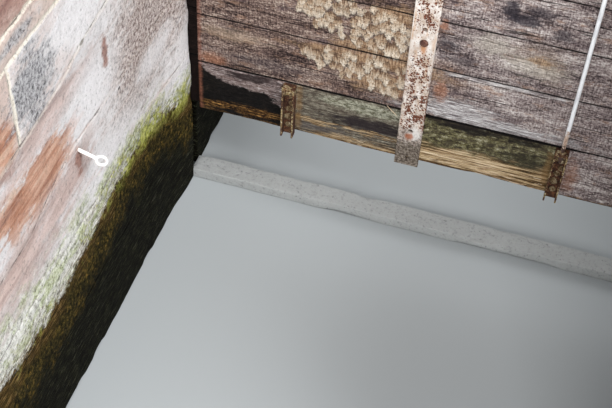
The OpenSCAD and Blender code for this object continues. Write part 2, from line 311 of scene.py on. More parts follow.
def cloud(vector, scale=1.0, detail=4.0, roughness=0.55, distortion=0.0):
    """Soft noise from 0 to 1, mostly between 0.3 and 0.7."""
    if not isinstance(scale, (int, float)):
        vector, scale = stretch(vector, scale), 1.0
    sockets = {"Vector": vector, "Scale": scale, "Detail": detail, "Roughness": roughness,
               "Distortion": distortion}
    return add("ShaderNodeTexNoise", sockets).outputs[0]


def fade(value, start, end):
    """Mask that goes smoothly from 0 at start to 1 at end."""
    return add("ShaderNodeMapRange", {0: value, 1: start, 2: end},
               interpolation_type="SMOOTHSTEP").outputs[0]


# %% Colour helpers
def lay(under, over, *masks, mode="MIX"):
    """Lays one colour over another where all masks are on."""
    mix = add("ShaderNodeMix", {0: both(*masks), 6: under, 7: over}, data_type="RGBA",
              blend_type=mode)
    return mix.outputs[2]


def stain(under, over, *masks):
    """Multiplies a colour by another where all masks are on."""
    return lay(under, over, *masks, mode="MULTIPLY")


def between(mask, under, over):
    """Goes from one number to another as the mask rises."""
    return add("ShaderNodeMix", {0: mask, 2: under, 3: over}, data_type="FLOAT").outputs[0]


def grey(level):
    """A colour without hue."""
    return (level, level, level)


def ramp(value, *stops):
    """Colours along a value: a stop is (position, r, g, b), or (position, level) for a grey."""
    made = add("ShaderNodeValToRGB", {0: value})
    line = made.color_ramp.elements
    while len(line) < len(stops):
        line.new(0.5)
    for element, (position, *shade) in zip(line, stops):
        element.position = position
        element.color = (*(shade if len(shade) == 3 else shade * 3), 1.0)
    return made.outputs[0]


def lit_by(colour, value, low_share=0.35, high_share=1.55):
    """Darkens and lightens a colour by a value from 0 to 1, so that grain shows through it."""
    factor = between(value, low_share, high_share)
    return add("ShaderNodeVectorMath", {0: colour, "Scale": factor}, operation="SCALE").outputs[0]


def outline(value, start, end, *points):
    """A drawn line: its height over a value, through (value, height) points."""
    share = add("ShaderNodeMapRange", {0: value, 1: start, 2: end}).outputs[0]
    stops = [((at - start) / (end - start), height) for at, height in points]
    return ramp(share, *stops)


# %% Materials and groups
def new_material(name):
    """A material with its tree in hand; returns the material and its Principled shader."""
    material = bpy.data.materials.new(name)
    material.use_nodes = True
    Hand.tree = material.node_tree
    print("material", name)
    return material, Hand.tree.nodes["Principled BSDF"]


def finish_with(shader, colour, roughness, specular=None, height=None, depth=0.0):
    """Sets colour, roughness and specular level, and bumps the surface by height times depth."""
    for socket, value in (("Base Color", colour), ("Roughness", roughness),
                          ("Specular IOR Level", specular)):
        put(shader.inputs[socket], value)
    if height is not None:
        bump = add("ShaderNodeBump", {"Height": height, "Distance": depth, "Strength": 1.0})
        put(shader.inputs["Normal"], bump.outputs[0])


def new_group(name, inputs, outputs):
    """A shader node group, now in hand; inputs and outputs are (name, kind) pairs."""
    group = bpy.data.node_groups.new(name, "ShaderNodeTree")
    for direction, sockets in (("INPUT", inputs), ("OUTPUT", outputs)):
        for socket, kind in sockets:
            group.interface.new_socket(name=socket, in_out=direction,
                                       socket_type="NodeSocket" + kind)
    Hand.tree = group
    print("node group", name)
    ends = group.nodes.new("NodeGroupInput"), group.nodes.new("NodeGroupOutput")
    return group, ends[0].outputs, ends[1].inputs


def use(group, **values):
    """Places a node group, sets its sockets and returns its outputs."""
    made = Hand.tree.nodes.new("ShaderNodeGroup")
    made.node_tree = group
    for key, value in values.items():
        put(made.inputs[key], value)
    return made.outputs


# %% [markdown]
# ## Shared effects
# Stains, moss, flaking coats and rust all sit in ragged patches, so one group makes such a patch
# from a centre and a reach. Others make wood grain, round rust pits and grit. A group gives out
# only masks and values: the shader itself stays in the material.

# %% Patch group
patch, p_in, p_out = new_group("Ragged patch", [("Vector", "Vector"), ("Centre", "Vector"),
                                                ("Reach", "Vector"), ("Softness", "Float"),
                                                ("Edge", "Float")], [("Mask", "Float")])
p_offset = add("ShaderNodeVectorMath", {0: p_in["Vector"], 1: p_in["Centre"]}, operation="SUBTRACT")
p_share = add("ShaderNodeVectorMath", {0: p_offset.outputs[0], 1: p_in["Reach"]},
              operation="DIVIDE")
p_far = add("ShaderNodeVectorMath", {0: p_share.outputs[0]}, operation="LENGTH").outputs["Value"]
p_mask = fade(calc("ADD", p_far, p_in["Edge"]), calc("ADD", 1.0, p_in["Softness"]),
              calc("SUBTRACT", 1.0, p_in["Softness"]))
put(p_out["Mask"], p_mask)


def spot(vector, centre, reach, softness, edge):
    """Mask of one ragged patch."""
    return use(patch, Vector=vector, Centre=centre, Reach=reach, Softness=softness,
               Edge=edge)["Mask"]


def leaf_spot(vector, centre, reach, softness, edge):
    """The same on the leaf, placed in x and in height over its lower edge."""
    return spot(vector, (centre[0], 0, LEAF_Z + centre[1]), (reach[0], 0.5, reach[1]), softness,
                edge)


# %% Grain group
grain, g_in, g_out = new_group("Wood grain", [("Along", "Vector")],
                               [("Value", "Float"), ("Check", "Float"), ("Height", "Float")])
g_band = fade(cloud(g_in["Along"], (2.6, 5, 30), 6.0, 0.66, 0.25), 0.34, 0.66)
g_dash = fade(cloud(g_in["Along"], (44, 60, 215), 4.0, 0.66, 0.2), 0.34, 0.66)
g_speck = fade(cloud(g_in["Along"], (120, 120, 150), 3.0, 0.62), 0.36, 0.64)
g_hatch = fade(cloud(g_in["Along"], (210, 60, 24), 3.0, 0.62), 0.36, 0.64)
g_broad = fade(cloud(g_in["Along"], (6.0, 6, 15), 5.0, 0.66), 0.32, 0.68)
g_split = cloud(g_in["Along"], (5, 30, 130), 3.0, 0.5, 0.4)
g_check = fade(g_split, 0.385, 0.335)
g_value = total((0.17, g_band), (0.24, g_dash), (0.22, g_speck), (0.15, g_hatch), (0.22, g_broad))
g_height = total((0.3, g_band), (0.35, g_dash), (0.25, g_speck), (0.1, g_hatch), (-0.9, g_check))
for socket, value in (("Value", g_value), ("Check", g_check), ("Height", g_height)):
    put(g_out[socket], value)

# %% Pit group
pits, h_in, h_out = new_group("Round pits", [("Vector", "Vector"), ("Cells", "Float"),
                                             ("Amount", "Float")],
                              [("Pit", "Float"), ("Halo", "Float")])
h_cells = add("ShaderNodeTexVoronoi", {"Vector": h_in["Vector"], "Scale": h_in["Cells"]},
              voronoi_dimensions="2D")
h_luck = parts(h_cells.outputs["Color"])[0]
h_size = both(calc("SUBTRACT", h_in["Amount"], h_luck), 0.62)
h_near = calc("SUBTRACT", h_size, h_cells.outputs["Distance"])
put(h_out["Pit"], fade(h_near, -0.08, 0.04))
put(h_out["Halo"], fade(h_near, -0.45, 0.02))

# %% [markdown]
# The river leaves three bands on stone: dry stone above, a pale green film of algae where spray
# reaches, and a dark, slimy skin below the usual level. Downstream that level swells in the middle
# of the wall and dips at both ends of it. Upstream the water stands higher, against the leaf.

# %% Waterline group
SPRAY_Z = 0.562
SPRAY_SWELL = 0.038
SPRAY_DIP = 0.050
HEADWATER_Z = 1.05
END_SLOPE = 2.6

waterline, w_in, w_out = new_group("Waterline", [("Vector", "Vector")],
                                   [("Wet", "Float"), ("Algae", "Float"), ("Moss", "Float"),
                                    ("Above", "Float")])
w_x, w_y, w_z = parts(w_in["Vector"])
w_swell = both(calc("COSINE", both(calc("ADD", w_y, 0.55), 5.0)), SPRAY_SWELL)
w_dip = both(fade(w_y, -0.3, -0.06), -SPRAY_DIP)
w_low = calc("ADD", calc("ADD", w_swell, w_dip), SPRAY_Z)
w_level = between(fade(w_y, 0.03, 0.08), w_low, HEADWATER_Z)
w_wave = off_centre(cloud(w_in["Vector"], 9.0, 7.0, 0.72), -0.12)
w_grit = off_centre(cloud(w_in["Vector"], 70.0, 3.0, 0.7), -0.07)
w_end = calc("MAXIMUM", calc("SUBTRACT", calc("ABSOLUTE", w_x), WALL_X + 0.03), 0.0)
w_above = total((1.0, w_z), (-1.0, w_level), (1.0, w_wave), (1.0, w_grit), (END_SLOPE, w_end))
w_inner = fade(calc("ABSOLUTE", w_x), 1.3, 1.22)
w_wet = fade(w_above, 0.014, -0.014)
w_film = off_centre(cloud(w_in["Vector"], (14, 14, 30), 6.0, 0.74), 0.42)
w_reach = calc("ADD", w_film, w_above)
w_far = fade(w_y, -0.6, -1.1)
w_algae = fade(w_reach, calc("MULTIPLY_ADD", w_far, 0.13, 0.16),
               calc("MULTIPLY_ADD", w_far, 0.09, 0.05))
w_spot = cloud(w_in["Vector"], 40.0, 5.0, 0.75)
w_patchy = cloud(w_in["Vector"], 8.0, 3.0, 0.6)
w_near = fade(calc("ABSOLUTE", calc("SUBTRACT", w_above, 0.03)), 0.105, 0.02)
w_gate = between(fade(w_y, -0.95, -0.6), 0.35, 1.0)
w_moss = total((0.4, w_spot), (0.34, w_patchy), (0.12, w_gate))
w_moss = both(fade(w_moss, 0.455, 0.53), w_near)
for socket, value in (("Wet", w_wet), ("Algae", w_algae), ("Moss", w_moss)):
    put(w_out[socket], both(value, w_inner))
put(w_out["Above"], w_above)

# %% [markdown]
# ## Sandstone
# The blocks are pale sandstone, pink to grey, tooled with a point so the face is stippled. Salmon
# beds run through some of them. Each stone carries its own tone as a point value, and a second
# value says how near a joint is, where cream mortar has been smeared over the edges.

# %% River stains
def river_stains(at, colour, height, crack):
    """Lays algae, moss and the wet foot over a stone; returns its colour, height and wetness."""
    water = use(waterline, Vector=at)
    wet, above = water["Wet"], water["Above"]
    fine = cloud(at, 62.0, 5.0, 0.78)
    lime = ramp(fine, (0.38, 0.19, 0.18, 0.13), (0.48, 0.62, 0.62, 0.56), (0.6, 0.92, 0.92, 0.87))
    green = ramp(fine, (0.38, 0.075, 0.095, 0.025), (0.48, 0.38, 0.43, 0.21),
                 (0.61, 0.76, 0.8, 0.58))
    film = lay(lime, green, fade(cloud(at, (8, 8, 18), 5.0, 0.7), 0.475, 0.585))
    covered = both(water["Algae"], calc("SUBTRACT", 0.86, crack))
    colour = lay(colour, film, covered)
    streak = cloud(at, (34, 15, 120), 6.0, 0.8)
    brown = ramp(streak, (0.38, 0.006, 0.004, 0.002), (0.46, 0.032, 0.021, 0.007),
                 (0.54, 0.115, 0.066, 0.019), (0.64, 0.4, 0.27, 0.105))
    fringe = both(fade(above, 0.105, 0.0), fade(streak, 0.475, 0.54))
    colour = lay(colour, ramp(fine, (0.4, 0.03, 0.022, 0.008), (0.6, 0.28, 0.22, 0.105)),
                 fringe, water["Algae"], 0.85)
    olive = ramp(fine, (0.38, 0.004, 0.003, 0.001), (0.48, 0.022, 0.018, 0.006),
                 (0.56, 0.068, 0.052, 0.013), (0.66, 0.24, 0.14, 0.032))
    black = ramp(streak, (0.4, 0.002, 0.002, 0.001), (0.52, 0.008, 0.007, 0.005),
                 (0.6, 0.03, 0.033, 0.015), (0.7, 0.15, 0.14, 0.115))
    wander = calc("ADD", off_centre(cloud(at, 6.0, 4.0, 0.65), 0.34), above)
    slime = lay(brown, olive, fade(wander, -0.02, -0.11))
    slime = lay(slime, black, fade(wander, -0.12, -0.24))
    colour = lay(colour, slime, wet)
    moss = ramp(fine, (0.36, 0.1, 0.11, 0.012), (0.46, 0.33, 0.35, 0.045), (0.58, 0.62, 0.62, 0.19))
    colour = lay(colour, moss, water["Moss"], 0.92)
    height = total((1.0, height), (0.6, water["Moss"]), (0.9, both(wet, streak)))
    return colour, height, wet


# %% [markdown]
# The face of the wall that shows in the photograph has its own marks: a salmon wedge along one bed,
# a grey stippled block, brown tooling near the gate and rust that ran down from iron in the wall.
# They are listed as patches, and the wall across the water has the same ones mirrored.

# %% Marks on the wall
WALL_PATCHES = (
    ((-1.10, 1.062), (0.215, 0.098), 0.26, 0.96, "salmon"),
    ((-1.28, 1.100), (0.150, 0.055), 0.32, 0.90, "salmon"),
    ((-0.95, 1.075), (0.100, 0.030), 0.30, 0.85, "salmon"),
    ((-1.245, 1.325), (0.075, 0.078), 0.30, 0.95, "salmon"),
    ((-1.33, 0.880), (0.130, 0.040), 0.60, 0.65, "salmon"),
    ((-1.50, 1.180), (0.120, 0.060), 0.60, 0.60, "salmon"),
    ((-1.03, 1.238), (0.300, 0.030), 0.60, 0.85, "pink"),
    ((-1.05, 1.190), (0.280, 0.030), 0.80, 0.75, "pink"),
    ((-0.96, 0.900), (0.170, 0.075), 0.60, 0.90, "pink"),
    ((-1.25, 0.850), (0.300, 0.110), 0.80, 0.85, "pink"),
    ((-1.12, 1.740), (0.320, 0.090), 0.50, 0.95, "mauve"),
    ((-0.24, 1.060), (0.360, 0.260), 0.50, 0.90, "tooled"),
    ((-0.47, 0.850), (0.160, 0.080), 0.80, 0.55, "tooled"),
    ((-0.28, 0.885), (0.130, 0.060), 0.50, 0.75, "bloom"),
    ((-0.74, 1.090), (0.150, 0.100), 0.70, 0.80, "bloom"),
    ((-0.72, 1.440), (0.240, 0.110), 0.80, 0.80, "bloom"),
    ((-0.66, 0.780), (0.170, 0.070), 0.80, 0.60, "bloom"),
    ((-0.04, 0.640), (0.060, 0.130), 0.70, 0.80, "bloom"),
    ((-1.085, 1.392), (0.122, 0.112), 0.34, 0.95, "slate"),
    ((-1.13, 1.590), (0.120, 0.018), 0.50, 0.85, "slate"),
    ((-0.633, 1.165), (0.020, 0.052), 0.50, 0.85, "rust"),
    ((-0.880, 0.925), (0.019, 0.052), 0.45, 0.80, "rust"),
    # Small holes in the stone: near-black spots of painted shade, with no hollow in the surface.
    ((-0.772, 1.311), (0.012, 0.008), 0.40, 0.90, "hole"),
    ((-0.850, 1.298), (0.018, 0.005), 0.40, 0.90, "hole"),
    ((-0.565, 0.962), (0.008, 0.006), 0.40, 0.90, "hole"))


# %% Laying the marks
def wall_marks(flat, colour, grit, layers):
    """Lays the listed patches over the stone; flat is (|x|, y, z), so both sides are alike."""
    edge = off_centre(cloud(flat, (12, 9, 26), 7.0, 0.72), 3.2)
    inner = fade(parts(flat)[0], 0.935, 0.925)
    shades = {"salmon": ramp(layers, (0.34, 0.26, 0.105, 0.062), (0.45, 0.47, 0.22, 0.135),
                             (0.56, 0.66, 0.39, 0.28), (0.66, 0.76, 0.59, 0.46)),
              "pink": ramp(layers, (0.35, 0.42, 0.29, 0.26), (0.6, 0.72, 0.57, 0.53)),
              "mauve": ramp(layers, (0.35, 0.3, 0.165, 0.14), (0.6, 0.6, 0.4, 0.34)),
              "bloom": (0.93, 0.915, 0.93),
              "slate": ramp(grit, (0.4, 0.105, 0.105, 0.115), (0.48, 0.36, 0.355, 0.37),
                            (0.58, 0.6, 0.6, 0.62)),
              "tooled": ramp(grit, (0.41, 0.125, 0.07, 0.056), (0.48, 0.4, 0.315, 0.285),
                             (0.58, 0.74, 0.66, 0.63)),
              "rust": ramp(grit, (0.38, 0.19, 0.075, 0.05), (0.6, 0.42, 0.21, 0.16)),
              "hole": grey(0.03)}
    for centre, reach, softness, strength, shade in WALL_PATCHES:
        mask = spot(flat, (WALL_X, *centre), (0.2, *reach), softness, edge)
        colour = lay(colour, shades[shade], mask, inner, strength)
    return colour


# %% Sandstone material
def sandstone(name, tones, marked, stained):
    """Tooled sandstone; tones are its colours by stone, marked adds the wall's patches, stained the
    river's."""
    material, shader = new_material(name)
    at = place()
    x, y, z = parts(at)
    stops = [(position / (len(tones) - 1), *tone) for position, tone in enumerate(tones)]
    colour = ramp(mark_of("tone"), *stops)
    layers = cloud(at, (2.2, 2.2, 22.0), 6.0, 0.66, 0.4)
    if marked or stained:
        broad = cloud(at, (2.6, 2.6, 5.5), 5.0, 0.65)
        colour = lay(colour, (0.72, 0.58, 0.53), fade(broad, 0.5, 0.62), 0.6)
        bloom = (0.86, 0.84, 0.84) if marked else (0.58, 0.565, 0.55)
        colour = lay(colour, bloom, fade(broad, 0.48, 0.38), 0.55)
        colour = lay(colour, (0.74, 0.53, 0.47), fade(layers, 0.56, 0.68), 0.5)
        colour = lay(colour, (0.42, 0.37, 0.37), fade(layers, 0.43, 0.32), 0.28)
    grit = cloud(at, 78.0, 5.0, 0.78)
    outer = fade(calc("ABSOLUTE", x), WALL_X + 0.1, WALL_OUT - 0.05)
    off_middle = calc("ABSOLUTE", calc("SUBTRACT", y, (WALL_Y0 + WALL_Y1) / 2))
    ends = fade(off_middle, (WALL_Y1 - WALL_Y0) / 2 - 0.05, (WALL_Y1 - WALL_Y0) / 2 - 0.01)
    bare = calc("MAXIMUM", outer, ends)
    shade = ramp(mark_of("own"), (0.05, 0.66, 0.54, 0.49), (0.35, 0.92, 0.84, 0.79),
                 (0.65, 1.0), (0.95, 0.84, 0.85, 0.88))
    colour = stain(colour, shade, bare)
    foot = calc("ADD", z, off_centre(layers, 0.5))
    grime = both(outer, fade(foot, 0.3, 0.0))
    colour = stain(colour, (0.52, 0.5, 0.42), grime, 0.55)
    if marked:
        flat = vector_of(calc("ABSOLUTE", x), y, z)
        colour = wall_marks(flat, colour, grit, layers)
    coarse = cloud(at, 30.0, 7.0, 0.78)
    dusty = ramp(coarse, (0.3, 0.62), (0.43, 0.96), (0.58, 1.0))
    colour = stain(colour, dusty, 1.0)
    speckled = ramp(grit, (0.34, 0.52), (0.43, 0.96), (0.56, 1.0))
    colour = stain(colour, speckled, 1.0)
    joint = mark_of("joint")
    ragged = calc("ADD", joint, off_centre(coarse, 1.5))
    smear = both(fade(ragged, 0.3, 0.62), mark_of("lime"))
    lime = ramp(grit, (0.34, 0.5, 0.43, 0.34), (0.5, 0.86, 0.8, 0.7), (0.66, 0.86, 0.82, 0.73))
    colour = lay(colour, lime, smear, 0.88)
    broken = fade(cloud(at, 7.0, 4.0, 0.65), 0.46, 0.58)
    crack = both(fade(ragged, 0.74, 1.0), calc("MAXIMUM", broken, bare))
    colour = lay(colour, (0.07, 0.05, 0.042), crack, 0.75)
    height = total((0.9, coarse), (1.1, grit), (-0.6, crack))
    gloss, sheen = 0.9, 0.2
    if stained:
        colour, height, wet = river_stains(at, colour, height, crack)
        colour = stain(colour, (0.72, 0.65, 0.605), bare)
        gloss = between(wet, gloss, 0.75)
        sheen = between(wet, sheen, 0.03)
    finish_with(shader, colour, gloss, sheen, height, 0.007)
    return material


# %% Three kinds of sandstone
PALE = (0.88, 0.855, 0.86)
COOL = (0.74, 0.73, 0.745)
ROSE = (0.70, 0.555, 0.505)
BUFF = (0.70, 0.61, 0.54)
MAUVE = (0.54, 0.36, 0.31)
SCOURED = (0.40, 0.41, 0.405)
wall_stone = sandstone("wall_sandstone", (PALE, COOL, ROSE, BUFF, MAUVE), True, True)
SOOTED = ((0.43, 0.37, 0.325), (0.43, 0.42, 0.41), (0.45, 0.37, 0.33))
coping_stone = sandstone("coping_sandstone", SOOTED, False, True)
scoured_stone = sandstone("scoured_sandstone", (SCOURED, SCOURED), False, False)

# %% [markdown]
# ## Masonry
# A box with round edges is six face grids: every point is pulled to a smaller inner box and pushed
# back out by one radius. The grid lines crowd round each mortar joint, so the joint can be pressed
# into the surface; then the whole pattern is shifted a little, because no bed runs dead level. Old
# limewash hides the joints on the wet side of the wall. On the outer faces they stand open, and
# every stone shows its own shade.

# %% Blocks
def grid_lines(start, end, radius, step, joints=()):
    """Grid lines from start to end, closer together at both ends and beside each joint."""
    middle_lines = np.linspace(start + radius, end - radius,
                               max(2, int(round((end - start) / step))))
    edge = radius * np.array([0.0, 0.3, 0.65])
    beside = [j + np.array([-0.013, -0.008, -0.004, 0, 0.004, 0.008, 0.013]) for j in joints]
    clear = np.ones(len(middle_lines), bool)
    for joint in joints:
        clear[1:-1] &= np.abs(middle_lines[1:-1] - joint) > 0.017
    return np.sort(np.concatenate([start + edge, middle_lines[clear], end - edge] + beside))


def rounded_box(lines, radius):
    """Points, outward directions and faces of a box with round edges on the given grid lines: a
    point of the plain box is pulled to the inner box and pushed out again by the radius."""
    points = []
    faces = []
    count = 0
    for axis in range(3):
        u, v = [a for a in range(3) if a != axis]
        for side in (0, -1):
            gu, gv = np.meshgrid(lines[u], lines[v], indexing="ij")
            grid = np.empty(gu.shape + (3,))
            grid[..., u] = gu
            grid[..., v] = gv
            grid[..., axis] = lines[axis][side]
            quads = sheet_faces(len(lines[u]), len(lines[v]), count)
            if (side == -1) != (axis == 1):
                quads = quads[:, ::-1]
            points.append(grid.reshape(-1, 3))
            faces.append(quads)
            count += gu.size
    start = np.array([line[0] for line in lines])
    end = np.array([line[-1] for line in lines])
    plain, where = np.unique(np.round(np.concatenate(points), 6), axis=0, return_inverse=True)
    inner = np.clip(plain, start + radius, end - radius)
    out = plain - inner
    out /= np.linalg.norm(out, axis=1)[:, None]
    return inner + radius * out, out, where.reshape(-1)[np.concatenate(faces)]


def edge_wear(points, start, end, reach, seed):
    """How strongly an edge is chipped: high where noise is high and an edge is near."""
    inside = np.sort(np.minimum(points - start, end - points), axis=1)[:, 1]
    return ease(inside, reach, 0.0) * ease(noise(points * 11.0, seed), 0.45, 0.85)


# %% Courses
BEDS = (0.34, 0.67, 0.975, 1.27, 1.545, 1.635)
BED_LIME = (0.1, 0.1, 0.1, 0.35, 1.0, 1.0)
BED_Y = (-1.65, -1.20, -1.05, -0.90, -0.75, -0.60, 0.85)
BED_SHIFT = ((0, 0.004, -0.003, 0.002, 0.004, 0, 0.003),
             (-0.004, 0.010, 0, 0.004, -0.003, 0, 0.004),
             (-0.050, -0.048, 0.0, 0.030, 0.024, 0.020, 0.010),
             (-0.014, -0.006, -0.004, 0.010, 0.050, 0.060, 0.030),
             (0, -0.004, 0, -0.006, -0.010, 0, 0.004), (0.004, -0.008, 0, 0.006, 0.004, 0, -0.003))
DOWN_HEADS = ((-1.10, -0.40), (-0.72,), (-1.02, -0.30), (-0.60,), (-1.18, -0.42), (-0.86, -0.15),
              (-1.30, -0.66))
DOWN_TONES = ((0.15, 0.0, 0.1), (0.0, 0.1), (0.12, 0.05, 0.0), (0.12, 0.0), (0.55, 0.04, 0.1),
              (0.6, 0.5, 0.7), (1.0, 0.9, 0.5))
UP_HEADS = ((0.48,), (0.30,), (0.55,), (0.36,), (0.60,), (), (0.42,))
UP_TONES = ((0.1, 0.0), (0.0, 0.3), (0.1, 0.0), (0.4, 0.1), (0.0, 0.4), (0.6,), (0.5, 0.9))
NO_HEADS = ((),) * 7
BACKING_TONES = ((0.1,), (0.0,), (0.1,), (0.1,), (0.2,), (0.6,), (0.7,))
GROOVE_LIP = 0.012
POINTED_HEAD = -1.18
TIGHT = 0.1
TIGHT_SLACK = 0.006
STONE_ROUND = 0.006
JOINT_REACH = 0.016
CHIP_DEPTH, CHIP_REACH = 0.007, 0.022
JOINT_DEPTH = 0.0080
FACE_SWELL = 0.0042
PECK_DEPTH = 0.0020
STONE_SET_IN = 0.003


# %% Lines of the courses
def bed_shift(y, z):
    """How far the pattern is lifted at (y, z): each bed's own line, blended between beds."""
    levels = np.array((0.0,) + BEDS + (WALL_TOP,))
    level = np.zeros(len(y))
    shifts = np.stack([level] + [np.interp(y, BED_Y, line) for line in BED_SHIFT] + [level])
    course = np.clip(np.searchsorted(levels, z, "right") - 1, 0, len(levels) - 2)
    share = (z - levels[course]) / (levels[course + 1] - levels[course])
    pick = np.arange(len(y))
    return (1 - share) * shifts[course, pick] + share * shifts[course + 1, pick]


def nearest(values, joints):
    """Distance from each value to the nearest joint, and that joint's number."""
    away = np.abs(values[:, None] - np.array(joints))
    return away.min(axis=1), away.argmin(axis=1)


# %% A wall
def stone_wall(name, span_x, span_y, heads, tones, step, seed):
    """A wall of courses as one closed surface, pressed in at its joints and dented on its faces."""
    x0, x1 = sorted(span_x)
    y0, y1 = span_y
    all_heads = sorted(y for course in heads for y in course)
    lines = [grid_lines(x0, x1, STONE_ROUND, 0.05),
             grid_lines(y0, y1, STONE_ROUND, step, all_heads),
             grid_lines(0.0, WALL_TOP, STONE_ROUND, step, BEDS)]
    points, out, faces = rounded_box(lines, STONE_ROUND)
    y, z = points[:, 1], points[:, 2]
    course = np.searchsorted(BEDS, z)
    to_bed, bed = nearest(z, BEDS)
    to_head = np.full(len(y), 1.0)
    head_lime = np.full(len(y), TIGHT)
    tone = np.zeros(len(y))
    set_in = np.zeros(len(y))
    for number, (joints, colours) in enumerate(zip(heads, tones)):
        here = course == number
        if joints:
            away, head = nearest(y[here], joints)
            pointed = np.array(joints)[head] == POINTED_HEAD
            to_head[here] = np.where(pointed, away, away + TIGHT_SLACK)
            head_lime[here] = np.where(pointed, 1.0, TIGHT)
        stone = np.searchsorted(joints, y[here])
        tone[here] = np.array(colours)[stone]
        set_in[here] = lattice(stone, number, 0, seed)
    joint = np.minimum(to_bed, to_head)
    lime = np.where(to_bed < to_head, np.array(BED_LIME)[bed], head_lime)
    open_depth = (0.3 + 0.7 * lime) * noise(points * 7.0, seed + 3)
    push = -(0.0008 + JOINT_DEPTH * open_depth) * ease(joint, 0.011, 0.0)
    push += FACE_SWELL * rough(points * 3.5, 5, seed + 4)
    push += PECK_DEPTH * rough(points * 24.0, 2, seed + 5)
    push -= STONE_SET_IN * set_in * ease(joint, 0.004, 0.02)
    start, end = np.array([x0, y0, 0]), np.array([x1, y1, WALL_TOP])
    push -= CHIP_DEPTH * edge_wear(points, start, end, CHIP_REACH, seed + 9)
    moved = points + out * push[:, None]
    moved[:, 2] += bed_shift(y, z)
    if y1 == GROOVE_Y0:
        inner_face = ease(np.abs(points[:, 0]), WALL_X + 0.05, WALL_X)
        moved[:, 0] -= np.sign(x0) * GROOVE_LIP * inner_face * ease(y, -0.22, -0.04)
    ragged = 1 + 0.5 * rough(points * 16.0, 2, seed + 12)
    return make_piece(name + "_stones", moved, faces.tolist(), "structure", wall_stone,
                      [name],
                      {"joint": np.clip(1 - joint / (JOINT_REACH * ragged), 0, 1), "tone": tone,
                       "lime": lime, "own": set_in})


# %% All walls
for side, hand in ((-1, "left"), (1, "right")):
    faces_x = (side * WALL_X, side * WALL_OUT)
    stone_wall(hand + "_downstream_wall", faces_x, (low("left_downstream_wall").y, GROOVE_Y0),
               DOWN_HEADS, DOWN_TONES, 0.0125, 100)
    stone_wall(hand + "_upstream_wall", faces_x, (GROOVE_Y1, high("left_upstream_wall").y),
               UP_HEADS, UP_TONES, 0.018, 300)
    stone_wall(hand + "_groove_backing", (side * low("right_groove_backing").x, side * WALL_OUT),
               (GROOVE_Y0, GROOVE_Y1), NO_HEADS, BACKING_TONES, 0.016, 500)

# %% [markdown]
# Coping stones are laid in lengths of well under a metre. Each one is a rounded block whose free
# top edges are cut back at 45 degrees: a point that stands proud of the cut moves half of its
# excess inwards and half of it down.

# %% Laid stones
def cut_back(points, face_x, inward, top, size):
    """Cuts a 45 degree bevel of the given size along an edge at x = face_x and z = top."""
    excess = size - (points[:, 0] - face_x) * inward - (top - points[:, 2])
    over = np.maximum(excess, 0) / 2
    points[:, 0] += inward * over
    points[:, 2] -= over


def laid_stones(node, count, material, slot, bevel, steps, free_sides=(1, 1)):
    """Replaces a CAD node by a row of stones along y, with free top edges bevelled."""
    heap = Heap()
    lo, hi = low(node), high(node)
    joints = np.linspace(lo.y, hi.y, count + 1)
    seed = sum(map(ord, node))
    for number in range(count):
        gap = 0.003 if count > 1 else 0.0
        y0 = joints[number] + (gap if number else 0)
        y1 = joints[number + 1] - (gap if number + 1 < count else 0)
        start, end = np.array([lo.x, y0, lo.z]), np.array([hi.x, y1, hi.z])
        lines = [grid_lines(start[a], end[a], STONE_ROUND, steps[a]) for a in range(3)]
        points, out, faces = rounded_box(lines, STONE_ROUND)
        push = 0.0018 * rough(points * 6.0, 4, seed + number) - 0.0018
        push -= CHIP_DEPTH * edge_wear(points, start, end, 0.025, seed + 9)
        points = points + out * push[:, None]
        for face_x, inward, free in ((lo.x, 1, free_sides[0]), (hi.x, -1, free_sides[1])):
            if free:
                cut_back(points, face_x, inward, hi.z, bevel)
        heap.add(points, faces.tolist(), tone=float(lattice(number, seed, 1, 5)), joint=0.0,
                 lime=0.0, own=0.65)
    return heap.piece(node + "_stone", "structure", material, slot, [node])


# %% Copings and sill in place
COPING_BEVEL = 0.024
for hand in ("left", "right"):
    laid_stones(hand + "_downstream_coping", 2, coping_stone, "coping_sandstone", COPING_BEVEL,
                (0.02, 0.02, 0.016))
    laid_stones(hand + "_upstream_coping", 1, coping_stone, "coping_sandstone", COPING_BEVEL,
                (0.02, 0.02, 0.016))
    free = (1, 0) if hand == "left" else (0, 1)
    laid_stones(hand + "_middle_coping", 1, coping_stone, "coping_sandstone", COPING_BEVEL,
                (0.02, 0.012, 0.016), free)
laid_stones("sill", 1, scoured_stone, "coping_sandstone", 0.004, (0.02, 0.010, 0.010))

# %% [markdown]
# ## Timber
# Oak that stands in water goes grey and purple-brown, and its grain is raised by wear. An old cream
# coat clings to it in scalloped flakes. A flake is one cell of a Voronoi texture, and it is kept or
# lost as a whole: the patch mask is read at the cell's middle instead of at the point.

# %% Patches of the coat
FLAKE_X, FLAKE_Z = 44.0, 25.0
FLAKE_PATCHES = (((-0.20, 0.570), (0.140, 0.095)), ((-0.37, 0.605), (0.100, 0.080)),
                 ((-0.13, 0.520), (0.09, 0.045)), ((-0.275, 0.385), (0.165, 0.048)),
                 ((-0.15, 0.350), (0.100, 0.045)), ((-0.30, 0.800), (0.30, 0.07)))
OCHRE_PATCHES = (((-0.20, 0.432), (0.260, 0.026)), ((-0.18, 0.480), (0.150, 0.040)),
                 ((-0.16, 0.340), (0.12, 0.045)), ((-0.14, 0.640), (0.090, 0.040)),
                 ((0.37, 0.590), (0.035, 0.022)))


def leaf_mask(vector, centres, softness, edge):
    """The union of patches given by centre and reach in x and in height over the leaf's bottom."""
    mask = 0.0
    for centre, reach in centres:
        mask = calc("MAXIMUM", mask, leaf_spot(vector, centre, reach, softness, edge))
    return mask


